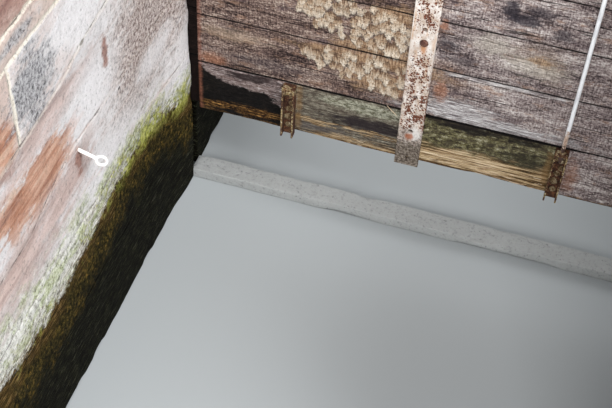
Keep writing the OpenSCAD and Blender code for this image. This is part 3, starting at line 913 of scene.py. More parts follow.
# %% Primer and flakes
def flaking(at, front, colour, height):
    """Lays ochre primer and the flakes that are left of the cream coat over the wood, with painted
    shading on each flake and a painted shadow under it.
    """
    x, _, z = parts(at)
    shake = add("ShaderNodeTexNoise", {"Vector": at, "Scale": 85.0, "Detail": 4.0}).outputs["Color"]
    shake_x, _, shake_z = parts(shake)
    feather = off_centre(cloud(at, (230, 1, 18), 3.0, 0.6), 0.03)
    u = both(calc("ADD", x, off_centre(shake_x, 0.024)), FLAKE_X)
    v = both(total((1.0, z), (1.0, off_centre(shake_z, 0.02)), (1.0, feather)), FLAKE_Z)
    flake = add("ShaderNodeTexVoronoi", {"Vector": vector_of(u, v, 0.0), "Scale": 1.0},
                voronoi_dimensions="2D")
    heart_u, heart_v, _ = parts(flake.outputs["Position"])
    heart = vector_of(both(heart_u, 1 / FLAKE_X), 0.0, both(heart_v, 1 / FLAKE_Z))
    luck, shade, _ = parts(flake.outputs["Color"])
    edge = off_centre(cloud(heart, (14, 1, 20), 3.0, 0.6), 2.6)
    left = calc("SUBTRACT", leaf_mask(heart, FLAKE_PATCHES, 0.3, edge), both(luck, 0.5))
    away = flake.outputs["Distance"]
    hanging = fade(calc("SUBTRACT", v, heart_v), 0.05, -0.25)
    round_foot = calc("MAXIMUM", fade(away, 0.66, 0.58), calc("SUBTRACT", 1.0, hanging))
    chipped = fade(cloud(at, (190, 1, 60), 5.0, 0.75), 0.37, 0.42)
    kept = both(fade(left, 0.12, 0.18), front, both(round_foot, chipped))
    shadow = both(kept, hanging, fade(away, 0.4, 0.62))
    ragged = off_centre(cloud(at, (14, 1, 60), 6.0, 0.7), 3.4)
    primer = both(leaf_mask(at, OCHRE_PATCHES, 0.5, ragged), front)
    streaks = cloud(at, (210, 1, 30), 5.0, 0.72)
    ochre = ramp(streaks, (0.38, 0.1, 0.05, 0.028), (0.49, 0.32, 0.195, 0.105),
                 (0.6, 0.56, 0.39, 0.25))
    colour = lay(colour, ochre, primer, 0.8)
    # Each flake is lighter towards its lower lip and darker above it: painted shading of the curled
    # flake.
    lip_shading = both(calc("SUBTRACT", v, heart_v), -0.2)
    age_and_shading = total((0.8, streaks), (0.16, shade), (1.0, lip_shading))
    cream = ramp(age_and_shading, (0.3, 0.115, 0.068, 0.045), (0.39, 0.34, 0.225, 0.14),
                 (0.49, 0.54, 0.43, 0.32), (0.66, 0.76, 0.68, 0.57))
    colour = lay(colour, cream, kept, 0.94)
    colour = lay(colour, (0.13, 0.08, 0.055), shadow, 0.45)
    return colour, total((1.0, height), (1.4, kept), (-0.5, shadow))


# %% [markdown]
# The bottom plank has been in the water longest. From left to right it shows a black, rotten part
# under a curved line, a grey-green part with lichen, moss over raw splintered wood, and a plain
# grey part. Its stains are drawn by position, with noise to break their edges.

# %% Bottom plank
def bottom_plank(at, x, rise, front, colour):
    """What the water did to the bottom plank, from the left bracket's rot to the raw wood, with
    painted shade under seam 1.
    """
    drift = off_centre(cloud(at, (9, 1, 34), 7.0, 0.72), 1.0)
    fibre = cloud(at, (12, 20, 210), 5.0, 0.72)
    mottle = cloud(at, (48, 20, 74), 6.0, 0.8)
    blotch = cloud(at, (14, 20, 30), 5.0, 0.65)
    x_edge = calc("MULTIPLY_ADD", drift, 0.07, x)
    z_edge = calc("MULTIPLY_ADD", drift, 0.13, rise)
    here = both(fade(rise, 0.243, 0.237), front)

    def span(start, end, soft=0.008):
        """Mask between two places along the plank, with a ragged edge."""
        return both(fade(x_edge, start - soft, start + soft), fade(x_edge, end + soft, end - soft))

    def area(cx, cz, rx, rz, softness=0.4):
        """A ragged stain on the plank's face."""
        return both(leaf_spot(at, (cx, cz), (rx, rz), softness, both(drift, 3.4)), here)

    left = both(here, span(-1.2, -0.5))
    swoop = outline(x, -0.86, -0.5, (-0.86, 0.235), (-0.8, 0.186), (-0.73, 0.16), (-0.6, 0.158),
                    (-0.54, 0.118), (-0.5, 0.1))
    wavy_rise = total((0.1, drift), (1.0, rise), (0.05, off_centre(mottle, 1.0)))
    under_line = calc("SUBTRACT", swoop, wavy_rise)
    below = fade(under_line, -0.008, 0.008)
    pale = ramp(total((0.5, fibre), (0.5, mottle)), (0.4, 0.04, 0.026, 0.025),
                (0.48, 0.16, 0.115, 0.11), (0.55, 0.38, 0.31, 0.3), (0.62, 0.78, 0.74, 0.73))
    colour = lay(colour, pale, left, 0.8)
    # Near-black band just under seam 1: painted shade of the open seam.
    colour = lay(colour, (0.016, 0.01, 0.011), area(-0.66, 0.216, 0.11, 0.02), 0.85)
    rot = ramp(total((0.6, mottle), (0.4, blotch)), (0.44, 0.001, 0.001, 0.001),
               (0.54, 0.004, 0.003, 0.0025), (0.61, 0.014, 0.01, 0.006), (0.7, 0.08, 0.055, 0.034))
    colour = lay(colour, rot, left, below, 0.98)
    amber = ramp(total((0.6, fibre), (0.4, mottle)), (0.46, 0.008, 0.004, 0.003),
                 (0.51, 0.09, 0.038, 0.01), (0.58, 0.5, 0.27, 0.085))
    colour = lay(colour, amber, left, fade(z_edge, 0.024, 0.008), 0.45)
    colour = lay(colour, amber, area(-0.775, 0.044, 0.08, 0.018), 0.9)
    colour = lay(colour, amber, area(-0.635, 0.046, 0.1, 0.026), 0.9)

    mid = both(here, span(-0.5, STRAP_X))
    olive = ramp(total((0.6, fibre), (0.4, mottle)), (0.39, 0.012, 0.009, 0.008),
                 (0.47, 0.075, 0.06, 0.045), (0.54, 0.19, 0.17, 0.13), (0.64, 0.5, 0.48, 0.38))
    colour = lay(colour, olive, mid, 0.92)
    lichen = ramp(mottle, (0.42, 0.1, 0.1, 0.055), (0.57, 0.52, 0.52, 0.41))
    colour = lay(colour, lichen, area(-0.21, 0.202, 0.15, 0.034), 0.7)
    colour = lay(colour, (0.018, 0.013, 0.016), area(-0.18, 0.122, 0.17, 0.03), 0.9)
    colour = lay(colour, lit_by((0.085, 0.075, 0.075), fibre), area(-0.38, 0.045, 0.1, 0.024), 0.6)
    splits = cloud(at, (5, 20, 130), 6.0, 0.7, 0.6)
    straw = ramp(splits, (0.42, 0.026, 0.012, 0.006), (0.49, 0.22, 0.13, 0.054),
                 (0.57, 0.66, 0.49, 0.29))
    line = calc("ABSOLUTE", calc("SUBTRACT", z_edge, 0.08))
    colour = lay(colour, straw, mid, fade(line, 0.014, 0.003), 0.8)
    low_mid = both(mid, fade(z_edge, 0.05, 0.02), fade(x_edge, -0.46, -0.36))
    colour = lay(colour, straw, low_mid, 0.85)
    brown_stain = lit_by((0.2, 0.115, 0.045), mottle, -0.3, 2.3)
    colour = lay(colour, brown_stain, area(-0.463, 0.16, 0.013, 0.075, 0.6), 0.6)
    colour = lay(colour, brown_stain, area(-0.464, 0.06, 0.014, 0.045, 0.6), 0.55)

    right = both(here, span(STRAP_X, 0.515, 0.02))
    moss = ramp(total((0.5, mottle), (0.5, cloud(at, (20, 20, 44), 6.0, 0.78))),
                (0.4, 0.008, 0.006, 0.004), (0.47, 0.05, 0.041, 0.02),
                (0.53, 0.19, 0.172, 0.075), (0.61, 0.55, 0.53, 0.4))
    colour = lay(colour, moss, right, 0.94)
    colour = lay(colour, lit_by((0.06, 0.048, 0.03), mottle, 0.0, 2.0), right,
                 fade(blotch, 0.52, 0.6), 0.8)
    # Near-black band just under seam 1: painted shade of the open seam.
    colour = lay(colour, (0.01, 0.008, 0.008), area(0.2, 0.222, 0.2, 0.016), 0.9)
    colour = lay(colour, lit_by((0.034, 0.03, 0.02), mottle), area(0.4, 0.125, 0.1, 0.04), 0.7)
    raw = both(right, fade(z_edge, 0.122, 0.084))
    colour = lay(colour, straw, raw, 0.95)
    fresh = ramp(splits, (0.4, 0.1, 0.05, 0.022), (0.49, 0.52, 0.36, 0.19),
                 (0.59, 0.82, 0.68, 0.48))
    colour = lay(colour, fresh, area(0.15, 0.06, 0.17, 0.036), 0.8)
    colour = lay(colour, brown_stain, area(0.478, 0.12, 0.015, 0.085, 0.6), 0.65)
    rusty_stain = lit_by((0.32, 0.15, 0.09), mottle, 0.0, 2.0)
    colour = lay(colour, rusty_stain, area(0.562, 0.11, 0.026, 0.075, 0.6), 0.6)
    under = both(here, fade(z_edge, 0.022, 0.004))
    foot = ramp(mottle, (0.44, 0.022, 0.01, 0.006), (0.6, 0.2, 0.11, 0.042))
    return lay(colour, foot, under, 0.85)


# %% Stains of the leaf, with a painted highlight
THICK_X = WALL_X - 0.050
LEAF_STAINS = (
    ((0.24, 0.266), (0.30, 0.022), 0.5, 0.90, "bleach_and_highlight"),
    ((0.12, 0.305), (0.12, 0.034), 0.6, 0.85, "bleach_and_highlight"),
    # A thin pale line along the top edge of plank 2: painted highlight on its arris.
    ((0.26, 0.453), (0.24, 0.007), 0.6, 0.70, "bleach_and_highlight"),
    ((0.052, 0.365), (0.022, 0.045), 0.4, 0.60, "orange"),
    ((0.028, 0.655), (0.014, 0.022), 0.4, 0.65, "orange"),
    ((-0.090, 0.370), (0.018, 0.070), 0.5, 0.50, "orange"),
    ((0.240, 0.770), (0.030, 0.042), 0.4, 0.85, "sooty"),
    ((0.285, 0.745), (0.055, 0.024), 0.4, 0.85, "sooty"),
    ((0.330, 0.785), (0.050, 0.020), 0.4, 0.70, "sooty"),
    ((0.42, 0.715), (0.035, 0.020), 0.5, 0.70, "sooty"),
    ((0.05, 0.575), (0.040, 0.030), 0.5, 0.75, "sooty"),
    ((0.10, 0.520), (0.060, 0.020), 0.5, 0.50, "sooty"),
    ((0.345, 0.610), (0.085, 0.050), 0.7, 0.30, "tan"),
    ((0.41, 0.560), (0.045, 0.050), 0.7, 0.30, "tan"),
    ((0.20, 0.615), (0.060, 0.040), 0.6, 0.60, "lichen"),
    ((0.36, 0.560), (0.10, 0.040), 0.6, 0.55, "lichen"),
    ((-0.80, 0.270), (0.05, 0.025), 0.5, 0.55, "orange"),
    ((-0.72, 0.400), (0.11, 0.025), 0.7, 0.50, "tan"),
    ((-0.60, 0.300), (0.16, 0.030), 0.7, 0.50, "sooty"))


# %% Oak of the leaf
def weathered_oak():
    """The leaf: grain first, then stains, bottom plank, flakes, rims and slime; the rims and the
    rebate get painted shade.
    """
    material, shader = new_material("weathered_oak")
    at = place()
    x, y, z = parts(at)
    rise = calc("SUBTRACT", z, LEAF_Z)
    front = fade(y, 0.045, 0.035)
    wood = use(grain, Along=at)
    value = wood["Value"]
    brown = ramp(value, (0.2, 0.014, 0.009, 0.009), (0.36, 0.066, 0.042, 0.038),
                 (0.5, 0.168, 0.112, 0.096), (0.64, 0.33, 0.24, 0.2), (0.82, 0.62, 0.52, 0.44))
    silver = ramp(value, (0.2, 0.032, 0.024, 0.026), (0.36, 0.15, 0.113, 0.112),
                  (0.5, 0.305, 0.248, 0.238), (0.64, 0.48, 0.415, 0.395), (0.82, 0.74, 0.69, 0.66))
    hue = cloud(at, (3.0, 3, 9), 3.0, 0.6)
    sides = calc("ADD", off_centre(hue, 0.8), x)
    colour = lay(brown, silver, fade(sides, -0.1, 0.15))
    warm = both(fade(cloud(at, (11, 11, 26), 6.0, 0.74), 0.53, 0.64), 0.55)
    colour = lay(colour, lit_by((0.36, 0.215, 0.145), value), warm)
    plum = both(fade(cloud(stretch(at, (7, 7, 19)), 1.0, 6.0, 0.72), 0.46, 0.36), 0.55)
    colour = lay(colour, lit_by((0.125, 0.09, 0.1), value), plum)
    colour = lay(colour, (0.016, 0.011, 0.011), wood["Check"], 0.85)
    colour = stain(colour, grey(0.86), fade(x, STRAP_X + 0.02, STRAP_X - 0.1))
    edge = off_centre(cloud(at, (24, 1, 56), 7.0, 0.78), 3.8)
    pale_streak = cloud(at, (14, 20, 240), 5.0, 0.75)
    shades = {"bleach_and_highlight": ramp(pale_streak, (0.41, 0.12, 0.1, 0.105), (0.5, 0.44, 0.41, 0.41),
                               (0.58, 0.86, 0.85, 0.85)),
              "orange": lit_by((0.36, 0.155, 0.085), value),
              "sooty": lit_by((0.042, 0.036, 0.046), value),
              "tan": lit_by((0.36, 0.275, 0.2), value), "lichen": lit_by((0.5, 0.455, 0.39), value)}
    for centre, reach, softness, strength, shade in LEAF_STAINS:
        mask = leaf_spot(at, centre, reach, softness, edge)
        colour = lay(colour, shades[shade], mask, front, strength)
    colour = bottom_plank(at, x, rise, front, colour)
    colour = stain(colour, grey(0.78), fade(x, -0.45, -0.55), fade(rise, 0.2, 0.16))
    colour, height = flaking(at, front, colour, wood["Height"])
    red_end = fade(calc("MULTIPLY_ADD", edge, 0.009, calc("ABSOLUTE", x)), THICK_X - 0.02,
                   THICK_X - 0.006)
    colour = lay(colour, lit_by((0.24, 0.095, 0.062), value), red_end, front, 0.6)
    # Darker rims along each seam and a near-black line in it: painted shade in the gap between
    # planks.
    rim = calc("ADD", mark_of("rim"), both(edge, 0.0008))
    colour = lay(colour, (0.03, 0.02, 0.018), fade(rim, 0.01, 0.003), 0.22)
    colour = lay(colour, (0.005, 0.004, 0.004), fade(rim, 0.0028, 0.0008))
    # Near-black rebated ends: partly wet dark wood, partly painted shade of their recess in the stop
    # groove.
    rebate = fade(calc("ABSOLUTE", x), THICK_X + 0.001, THICK_X + 0.005)
    colour = lay(colour, lit_by((0.006, 0.0045, 0.0045), value), rebate, 0.95)
    soaked = both(fade(y, 0.06, 0.076), fade(z, HEADWATER_Z + 0.04, HEADWATER_Z - 0.02))
    slime = ramp(cloud(at, (30, 30, 60), 5.0, 0.7), (0.4, 0.01, 0.011, 0.006),
                 (0.64, 0.07, 0.075, 0.03))
    colour = lay(colour, slime, soaked, 0.85)
    finish_with(shader, colour, calc("MULTIPLY_ADD", value, 0.2, 0.68), 0.12, height, 0.005)
    return material


oak = weathered_oak()

# %% [markdown]
# A plank is a loop of points round its section, carried along x. The loop is dense on the face that
# the photograph shows, and a tongue stands on its top edge. Towards the ends the whole section is
# squeezed upstream, which cuts the rebate whose thin part runs in the stop groove.

# %% A plank's section
THIN_Y = GROOVE_Y0 + 0.009
STEP_SKEW = 0.001
TONGUE_Y0, TONGUE_Y1 = 0.029, 0.051
TONGUE_RISE = 0.013
FIBRE_DEPTH = 0.0011
WAVE_DEPTH = 0.0024
ARRIS_DEPTH = 0.0026
ARRIS_REACH = 0.003


def plank_loop(height, has_tongue):
    """Section points (y, z) of a plank and how fully each lies on the downstream face."""
    up = np.linspace(0.004, height - 0.004, int(round(height / 0.004)))
    down = np.linspace(height - 0.006, 0.006, 8)
    top = height + (TONGUE_RISE if has_tongue else 0.0)
    y_tongue = [TONGUE_Y0, TONGUE_Y0, TONGUE_Y1, TONGUE_Y1]
    z_tongue = [height, top, top, height]
    y = np.concatenate([[0.014, 0.003], np.zeros(len(up)), [0.003, 0.014], y_tongue, [0.066, 0.077],
                        np.full(8, LEAF_T), [0.077, 0.066, 0.04]])
    z = np.concatenate([[0.0, 0.001], up, [height - 0.001, height], z_tongue,
                        [height, height - 0.002], down, [0.002, 0.0, 0.0]])
    face = np.concatenate([[0.2, 0.8], np.ones(len(up)), [0.8, 0.2], np.zeros(17)])
    return y, z, face


# %% A plank
def plank(number, gap, ragged, eaten, seed):
    """Carries the section loop along x with relief on its downstream face. gap opens the seam over
    the plank, ragged breaks its lower edge and eaten is how deep the foot of the face has worn."""
    node = "plank_%d" % number
    z0 = PLANK_FEET[number - 1]
    height = PLANK_FEET[number] - z0
    end = high(node).x
    x = np.concatenate([[-end, -end + 0.004, -0.92, -THICK_X - STEP_SKEW],
                        np.arange(-THICK_X, THICK_X + 0.004, 0.0074),
                        [THICK_X + STEP_SKEW, 0.92, end - 0.004, end]])
    y, z, face = plank_loop(height, number < 7)
    gx, gy = np.meshgrid(x, y, indexing="ij")
    gz = np.broadcast_to(z, gx.shape).copy()
    on_face = np.broadcast_to(face, gx.shape)
    seat = np.stack([gx.ravel(), gy.ravel() * 0, gz.ravel() + z0], axis=1)

    def field(scale, octaves, shift):
        """Rough noise over the section's grid."""
        return rough(seat * scale, octaves, seed + shift).reshape(gx.shape)

    to_top = height - gz
    from_foot = gz.copy()
    arris = 0.5 + 0.9 * noise(seat * [9, 0, 0], seed + 7).reshape(gx.shape)
    relief = FIBRE_DEPTH * field([12, 0, 110], 3, 0) + WAVE_DEPTH * field([3.5, 0, 12], 3, 3)
    relief += ARRIS_DEPTH * arris * (np.exp(-to_top / ARRIS_REACH) + np.exp(-gz / ARRIS_REACH))
    worn = eaten * (0.5 + 0.5 * ease(gx, 0.0, 0.05)) * (0.55 + 0.45 * field([6, 0, 14], 2, 11))
    relief += worn * (1 + 0.5 * field([12, 0, 160], 2, 12)) * ease(gz, 0.095, 0.0)
    gy = gy + on_face * (relief + 0.001)
    opened = gap * (0.3 + 1.4 * noise(seat * [6, 0, 0], seed + 15).reshape(gx.shape))
    gz = gz - opened * on_face * ease(to_top, 0.030, 0.0)
    tattered = ragged * (0.25 + noise(seat * [13, 0, 0], seed + 21).reshape(gx.shape) ** 2)
    gz = gz + tattered * ease(gz, 0.03, 0.0)
    rim = np.minimum(np.abs(to_top), np.abs(from_foot) if number > 1 else height)
    thin = np.abs(gx) > THICK_X + STEP_SKEW / 2
    gy = np.where(thin, THIN_Y + gy * (LEAF_T - THIN_Y) / LEAF_T, gy)
    ends = [[side, LEAF_T * 0.7, z0 + height / 2] for side in (-end, end)]
    points, faces = capped(np.stack([gx, gy, gz + z0], axis=-1), *ends)
    faces = [face[::-1] for face in faces]
    marks = {"rim": np.concatenate([rim.ravel(), [height / 2, height / 2]])}
    return make_piece("oak_" + node, points, faces, "leaf", oak, [node], marks)


# %% All planks
plank(1, 0.0075, 0.006, 0.011, 11)
for number in range(2, 8):
    plank(number, 0.0012, 0.0, 0.0, 10 + 7 * number)

# %% [markdown]
# The head frame is sawn oak in the dry, silver-brown, with its grain along each stick. It is made
# like the stones, as rounded boxes, but the dents are drawn out along the grain into ridges. The
# bevels under the beam ends come from lifting whatever lies below the cut.

# %% Head frame
def dry_oak(name, upright):
    """Sawn oak of the head frame; upright turns the grain to run along z."""
    material, shader = new_material(name)
    at = place()
    x, y, z = parts(at)
    wood = use(grain, Along=vector_of(z, y, x) if upright else at)
    colour = ramp(wood["Value"], (0.22, 0.06, 0.043, 0.033), (0.42, 0.18, 0.138, 0.106),
                  (0.58, 0.32, 0.265, 0.215), (0.8, 0.52, 0.46, 0.4))
    colour = lay(colour, (0.04, 0.03, 0.024), wood["Check"], 0.7)
    lichen = both(fade(cloud(at, 14.0, 6.0, 0.7), 0.58, 0.7), 0.5)
    colour = lay(colour, (0.4, 0.42, 0.33), lichen)
    finish_with(shader, colour, 0.82, 0.25, wood["Height"], 0.004)
    return material


# %% Posts and beams
BEAM_BEVEL = 0.060
post_oak = dry_oak("post_oak", True)
beam_oak = dry_oak("beam_oak", False)


def timber(node, material, steps, grain_scale, radius, bevel=0.0):
    """A squared stick with ridged faces; bevel cuts the underside of its ends at 45 degrees."""
    lo, hi = low(node), high(node)
    lines = [grid_lines(lo[a], hi[a], radius, steps[a]) for a in range(3)]
    points, out, faces = rounded_box(lines, radius)
    seed = sum(map(ord, node))
    push = 0.0016 * rough(points * grain_scale, 3, seed) - 0.0012
    push -= 0.004 * edge_wear(points, np.array(lo), np.array(hi), 0.02, seed + 3)
    points = points + out * push[:, None]
    if bevel:
        lift = np.maximum(bevel - (hi.x - np.abs(points[:, 0])), 0)
        share = (hi.z - points[:, 2]) / (hi.z - lo.z)
        points[:, 2] += lift * share
    return make_piece(node + "_timber", points, faces.tolist(), "structure", material,
                      [node])


for node in ("left_post", "right_post"):
    timber(node, post_oak, (0.007, 0.007, 0.02), [90, 90, 5], 0.011)
for node in ("downstream_head_beam", "upstream_head_beam"):
    timber(node, beam_oak, (0.02, 0.0075, 0.0075), [5, 90, 90], 0.007, BEAM_BEVEL)

# %% [markdown]
# ## Iron
# The strap was painted cream. Rust broke through from pits, which are small and round, and ran
# down from them. Its foot hangs in the spray and has lost its paint. The pits are cells of a flat
# Voronoi pattern on x and z. A pattern in space would be cut at random depths by the strap's face,
# and its pits would differ in size without reason.

# %% Strap paint
def painted_strap():
    """Cream paint with rust pits, bare and rusty towards the foot."""
    material, shader = new_material("cream_painted_iron")
    at = place()
    x, _, z = parts(at)
    rise = calc("SUBTRACT", z, LEAF_Z)
    across = calc("SUBTRACT", x, STRAP_X)
    flat = vector_of(x, z, 0.0)
    soft = cloud(flat, (34, 22, 1), 6.0, 0.7)
    colour = ramp(soft, (0.34, 0.4, 0.305, 0.235), (0.47, 0.555, 0.485, 0.43),
                  (0.6, 0.7, 0.66, 0.62))
    run = cloud(flat, (60, 8, 1), 5.0, 0.65)
    colour = lay(colour, (0.5, 0.3, 0.17), fade(run, 0.52, 0.66), 0.55)
    cluster = cloud(flat, (26, 15, 1), 4.0, 0.65)
    band = fade(calc("ABSOLUTE", calc("ADD", across, -0.004)), 0.05, 0.022)
    dense = outline(rise, 0.0, 0.8, (0.0, 0.9), (0.18, 1.0), (0.27, 0.88), (0.42, 0.88),
                    (0.5, 0.66), (0.55, 0.25), (0.6, 0.3), (0.64, 0.8), (0.76, 0.85))
    amount = both(dense, between(band, 0.45, 1.0), between(fade(cluster, 0.38, 0.56), 0.3, 1.25))
    small = use(pits, Vector=flat, Cells=175.0, Amount=amount)
    large = use(pits, Vector=flat, Cells=95.0, Amount=both(amount, 0.9))
    edge_rust = both(fade(calc("ADD", off_centre(soft, 0.06), calc("ABSOLUTE", across)), 0.041,
                          0.047), fade(rise, 0.7, 0.25))
    pit = calc("MAXIMUM", calc("MAXIMUM", small["Pit"], large["Pit"]), both(edge_rust, 0.9))
    colour = lay(colour, (0.48, 0.25, 0.14), large["Halo"], 0.4)
    brown = ramp(cloud(flat, 160.0, 3.0, 0.6), (0.38, 0.03, 0.009, 0.006),
                 (0.62, 0.19, 0.052, 0.022))
    colour = lay(colour, brown, pit, 0.96)
    edge = off_centre(soft, 3.0)
    drip = spot(at, (STRAP_X + 0.004, STRAP_Y, LEAF_Z + 0.542), (0.01, 0.1, 0.024), 0.7,
                both(edge, 0.3))
    colour = lay(colour, (0.42, 0.17, 0.05), drip, 0.8)
    wear = calc("ADD", off_centre(cloud(flat, 60.0, 6.0, 0.75), 0.16), rise)
    patchy = fade(wear, 0.175, 0.15)
    grimy = ramp(cloud(flat, 95.0, 5.0, 0.75), (0.36, 0.035, 0.022, 0.015),
                 (0.46, 0.22, 0.18, 0.15), (0.55, 0.5, 0.45, 0.41), (0.66, 0.34, 0.13, 0.055))
    colour = lay(colour, grimy, patchy, 0.85)
    ring = spot(at, (STRAP_X + 0.014, STRAP_Y, LEAF_Z + 0.144), (0.024, 0.1, 0.028), 0.3,
                both(edge, 0.6))
    colour = lay(colour, (0.7, 0.67, 0.64), ring, 0.8)
    burn = spot(at, (STRAP_X - 0.004, STRAP_Y, LEAF_Z + 0.128), (0.013, 0.1, 0.016), 0.5,
                both(edge, 0.9))
    colour = lay(colour, (0.34, 0.1, 0.035), burn, 0.85)
    bare = ramp(cloud(flat, 110.0, 5.0, 0.78), (0.38, 0.02, 0.013, 0.009),
                (0.48, 0.105, 0.08, 0.06), (0.58, 0.27, 0.23, 0.19))
    foot = fade(wear, 0.102, 0.088)
    colour = lay(colour, bare, foot, 0.95)
    height = total((0.25, soft), (-1.0, pit), (0.8, both(foot, cloud(flat, 130.0, 4.0, 0.7))))
    finish_with(shader, colour, 0.7, 0.2, height, 0.0022)
    return material


# %% Rust
def rusty_iron(name, dark, brown, bright, growth):
    """Rusted iron, dark in the pits and bright where it flakes; growth says how mossy it is."""
    material, shader = new_material(name)
    at = place()
    coarse = cloud(at, 60.0, 6.0, 0.78)
    fine = cloud(at, 220.0, 4.0, 0.7)
    colour = ramp(total((0.6, coarse), (0.4, fine)), (0.38, *dark), (0.5, *brown), (0.62, *bright))
    moss = fade(cloud(at, 30.0, 5.0, 0.7), 0.6 - growth, 0.7 - growth)
    crust = ramp(fine, (0.38, 0.1, 0.095, 0.03), (0.52, 0.34, 0.31, 0.15), (0.66, 0.6, 0.55, 0.4))
    colour = lay(colour, crust, moss, 0.8)
    finish_with(shader, colour, 0.85, 0.25, total((1.0, coarse), (0.4, fine)), 0.005)
    return material, shader, colour


def bracket_rust():
    """The brackets' rust, with a painted highlight along the flange edges that stick out."""
    material, shader, colour = rusty_iron("bracket_rust", (0.01, 0.005, 0.004),
                                          (0.055, 0.022, 0.012), (0.2, 0.085, 0.038), 0.02)
    at = place()
    y = parts(at)[1]
    lip_y = low("left_bottom_bracket").y
    # Painted highlight along the outer edges of the flanges.
    lip_shading = both(fade(y, lip_y + 0.004, lip_y + 0.001),
               fade(cloud(at, (70, 70, 50), 5.0, 0.7), 0.46, 0.54))
    light = ramp(cloud(at, 120.0, 3.0, 0.6), (0.38, 0.15, 0.085, 0.03),
                 (0.55, 0.42, 0.33, 0.17), (0.68, 0.62, 0.56, 0.42))
    colour = lay(colour, light, lip_shading, 0.8)
    put(shader.inputs["Base Color"], colour)
    return material


# %% Zinc
def zinc():
    """Dull zinc coat on the tie rod, with rust creeping up from its lower end."""
    material, shader = new_material("galvanised_steel")
    at = place()
    z = parts(at)[2]
    bloom = cloud(at, (90, 90, 22), 4.0, 0.6)
    colour = ramp(bloom, (0.33, 0.66, 0.67, 0.7), (0.58, 0.9, 0.92, 0.94))
    edge = calc("ADD", off_centre(cloud(at, 60.0, 5.0, 0.7), 0.18), z)
    worn = ramp(bloom, (0.4, 0.32, 0.17, 0.09), (0.58, 0.78, 0.62, 0.5))
    colour = lay(colour, worn, fade(edge, LEAF_Z + 0.36, LEAF_Z + 0.31), 0.85)
    colour = lay(colour, (0.05, 0.024, 0.016), fade(edge, LEAF_Z + 0.275, LEAF_Z + 0.262))
    finish_with(shader, colour, 0.55, None, bloom, 0.0006)
    return material


# %% White paint
def white_iron():
    """White gloss paint on the eye bolts, a little dirty towards the wall."""
    material, shader = new_material("white_painted_iron")
    at = place()
    x = calc("ABSOLUTE", parts(at)[0])
    dust = cloud(at, 110.0, 4.0, 0.6)
    colour = ramp(dust, (0.4, 0.8, 0.8, 0.78), (0.62, 0.93, 0.93, 0.92))
    root = fade(calc("MULTIPLY_ADD", dust, 0.02, x), WALL_X + 0.002, WALL_X + 0.012)
    colour = lay(colour, (0.42, 0.24, 0.15), root, 0.6)
    finish_with(shader, colour, 0.42, None, dust, 0.0005)
    return material


# %% Iron materials
strap_paint = painted_strap()
bracket_iron = bracket_rust()
rust = rusty_iron("rusty_iron", (0.02, 0.01, 0.007), (0.095, 0.042, 0.022), (0.26, 0.12, 0.055),
                  -0.04)[0]
bolt_rust = rusty_iron("bolt_rust", (0.03, 0.012, 0.01), (0.105, 0.045, 0.032), (0.24, 0.13, 0.09),
                       -0.06)[0]
dark_iron = rusty_iron("dark_cast_iron", (0.022, 0.02, 0.019), (0.06, 0.052, 0.046),
                       (0.17, 0.095, 0.055), -0.08)[0]
crust_iron = rusty_iron("crusted_iron", (0.035, 0.018, 0.008), (0.15, 0.095, 0.045),
                        (0.5, 0.43, 0.3), 0.02)[0]
rod_zinc = zinc()
eye_white = white_iron()


# %% Dressed iron
def dress(node, material):
    """Gives a CAD node its material and keeps its shape."""
    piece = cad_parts[node]
    piece.data.materials.clear()
    piece.data.materials.append(material)


dress("centre_strap", strap_paint)
for node in ("left_bottom_bracket", "right_bottom_bracket", "left_top_bracket",
             "right_top_bracket", "rod_stub"):
    dress(node, bracket_iron)
for node in ("left_back_strap", "centre_back_strap", "right_back_strap"):
    dress(node, rust)
for node in ("rack", "rack_housing", "pinion_shaft"):
    dress(node, dark_iron)
dress("tie_rod", rod_zinc)
for hand in ("left", "right"):
    dress(hand + "_eye_bolt", eye_white)

# %% [markdown]
# ## Bolts
# Bolt heads, nuts and washers are profiles spun round an axis. A profile is a list of (radius,
# height) points that starts and ends on the axis, so the shape closes at both poles. With six
# segments the same spin gives a hexagon nut.

# %% Spun shapes
def spun(profile, origin, toward, segments=20, dent=0.0, seed=0):
    """Spins a profile round an axis: (r, h) goes to origin + h * axis + r * (cos, sin)."""
    axis = np.array(toward, float)
    side = np.cross(axis, [0.3, 0.5, 0.8])
    side /= np.linalg.norm(side)
    up = np.cross(axis, side)
    ring = profile[1:-1]
    turn = np.linspace(0, 2 * np.pi, segments, endpoint=False)
    r = np.array([p[0] for p in ring])[:, None]
    h = np.array([p[1] for p in ring])[:, None]
    grid = (r[..., None] * (np.cos(turn)[:, None] * side + np.sin(turn)[:, None] * up)
            + h[..., None] * axis)
    points, faces = capped(grid, axis * profile[0][1], axis * profile[-1][1])
    points += origin
    if dent:
        far = points - origin
        points = points + dent * far * rough(points * 140.0, 3, seed)[:, None]
    return points, faces


def dome(radius, height):
    """Profile of a round bolt head: it rises as the square root of the way from its edge."""
    share = np.linspace(1, 0, 6)
    curve = [(radius * s, height * math.sqrt(1 - s * s) + 0.0008) for s in share[:-1]]
    return [(0, 0)] + curve + [(0, height)]


def washer(radius, thickness):
    """Profile of a flat washer."""
    return [(0, 0), (radius, 0), (radius, thickness * 0.7), (radius * 0.93, thickness),
            (0, thickness)]


def nut(radius, height):
    """Profile of a nut, spun in six segments."""
    return [(0, 0), (radius, 0), (radius, height * 0.82), (radius * 0.87, height), (0, height)]


def stud(radius, length):
    """Profile of a bolt's free end."""
    return [(0, 0), (radius, 0), (radius, length * 0.85), (radius * 0.8, length), (0, length)]


def nut_and_washer(heap, washer_shape, nut_shape, foot, way, segments=20):
    """Adds a washer and a hexagon nut that stand at foot and look the given way."""
    heap.add(*spun(washer(*washer_shape), foot, way, segments))
    heap.add(*spun(nut(*nut_shape), foot, way, 6))


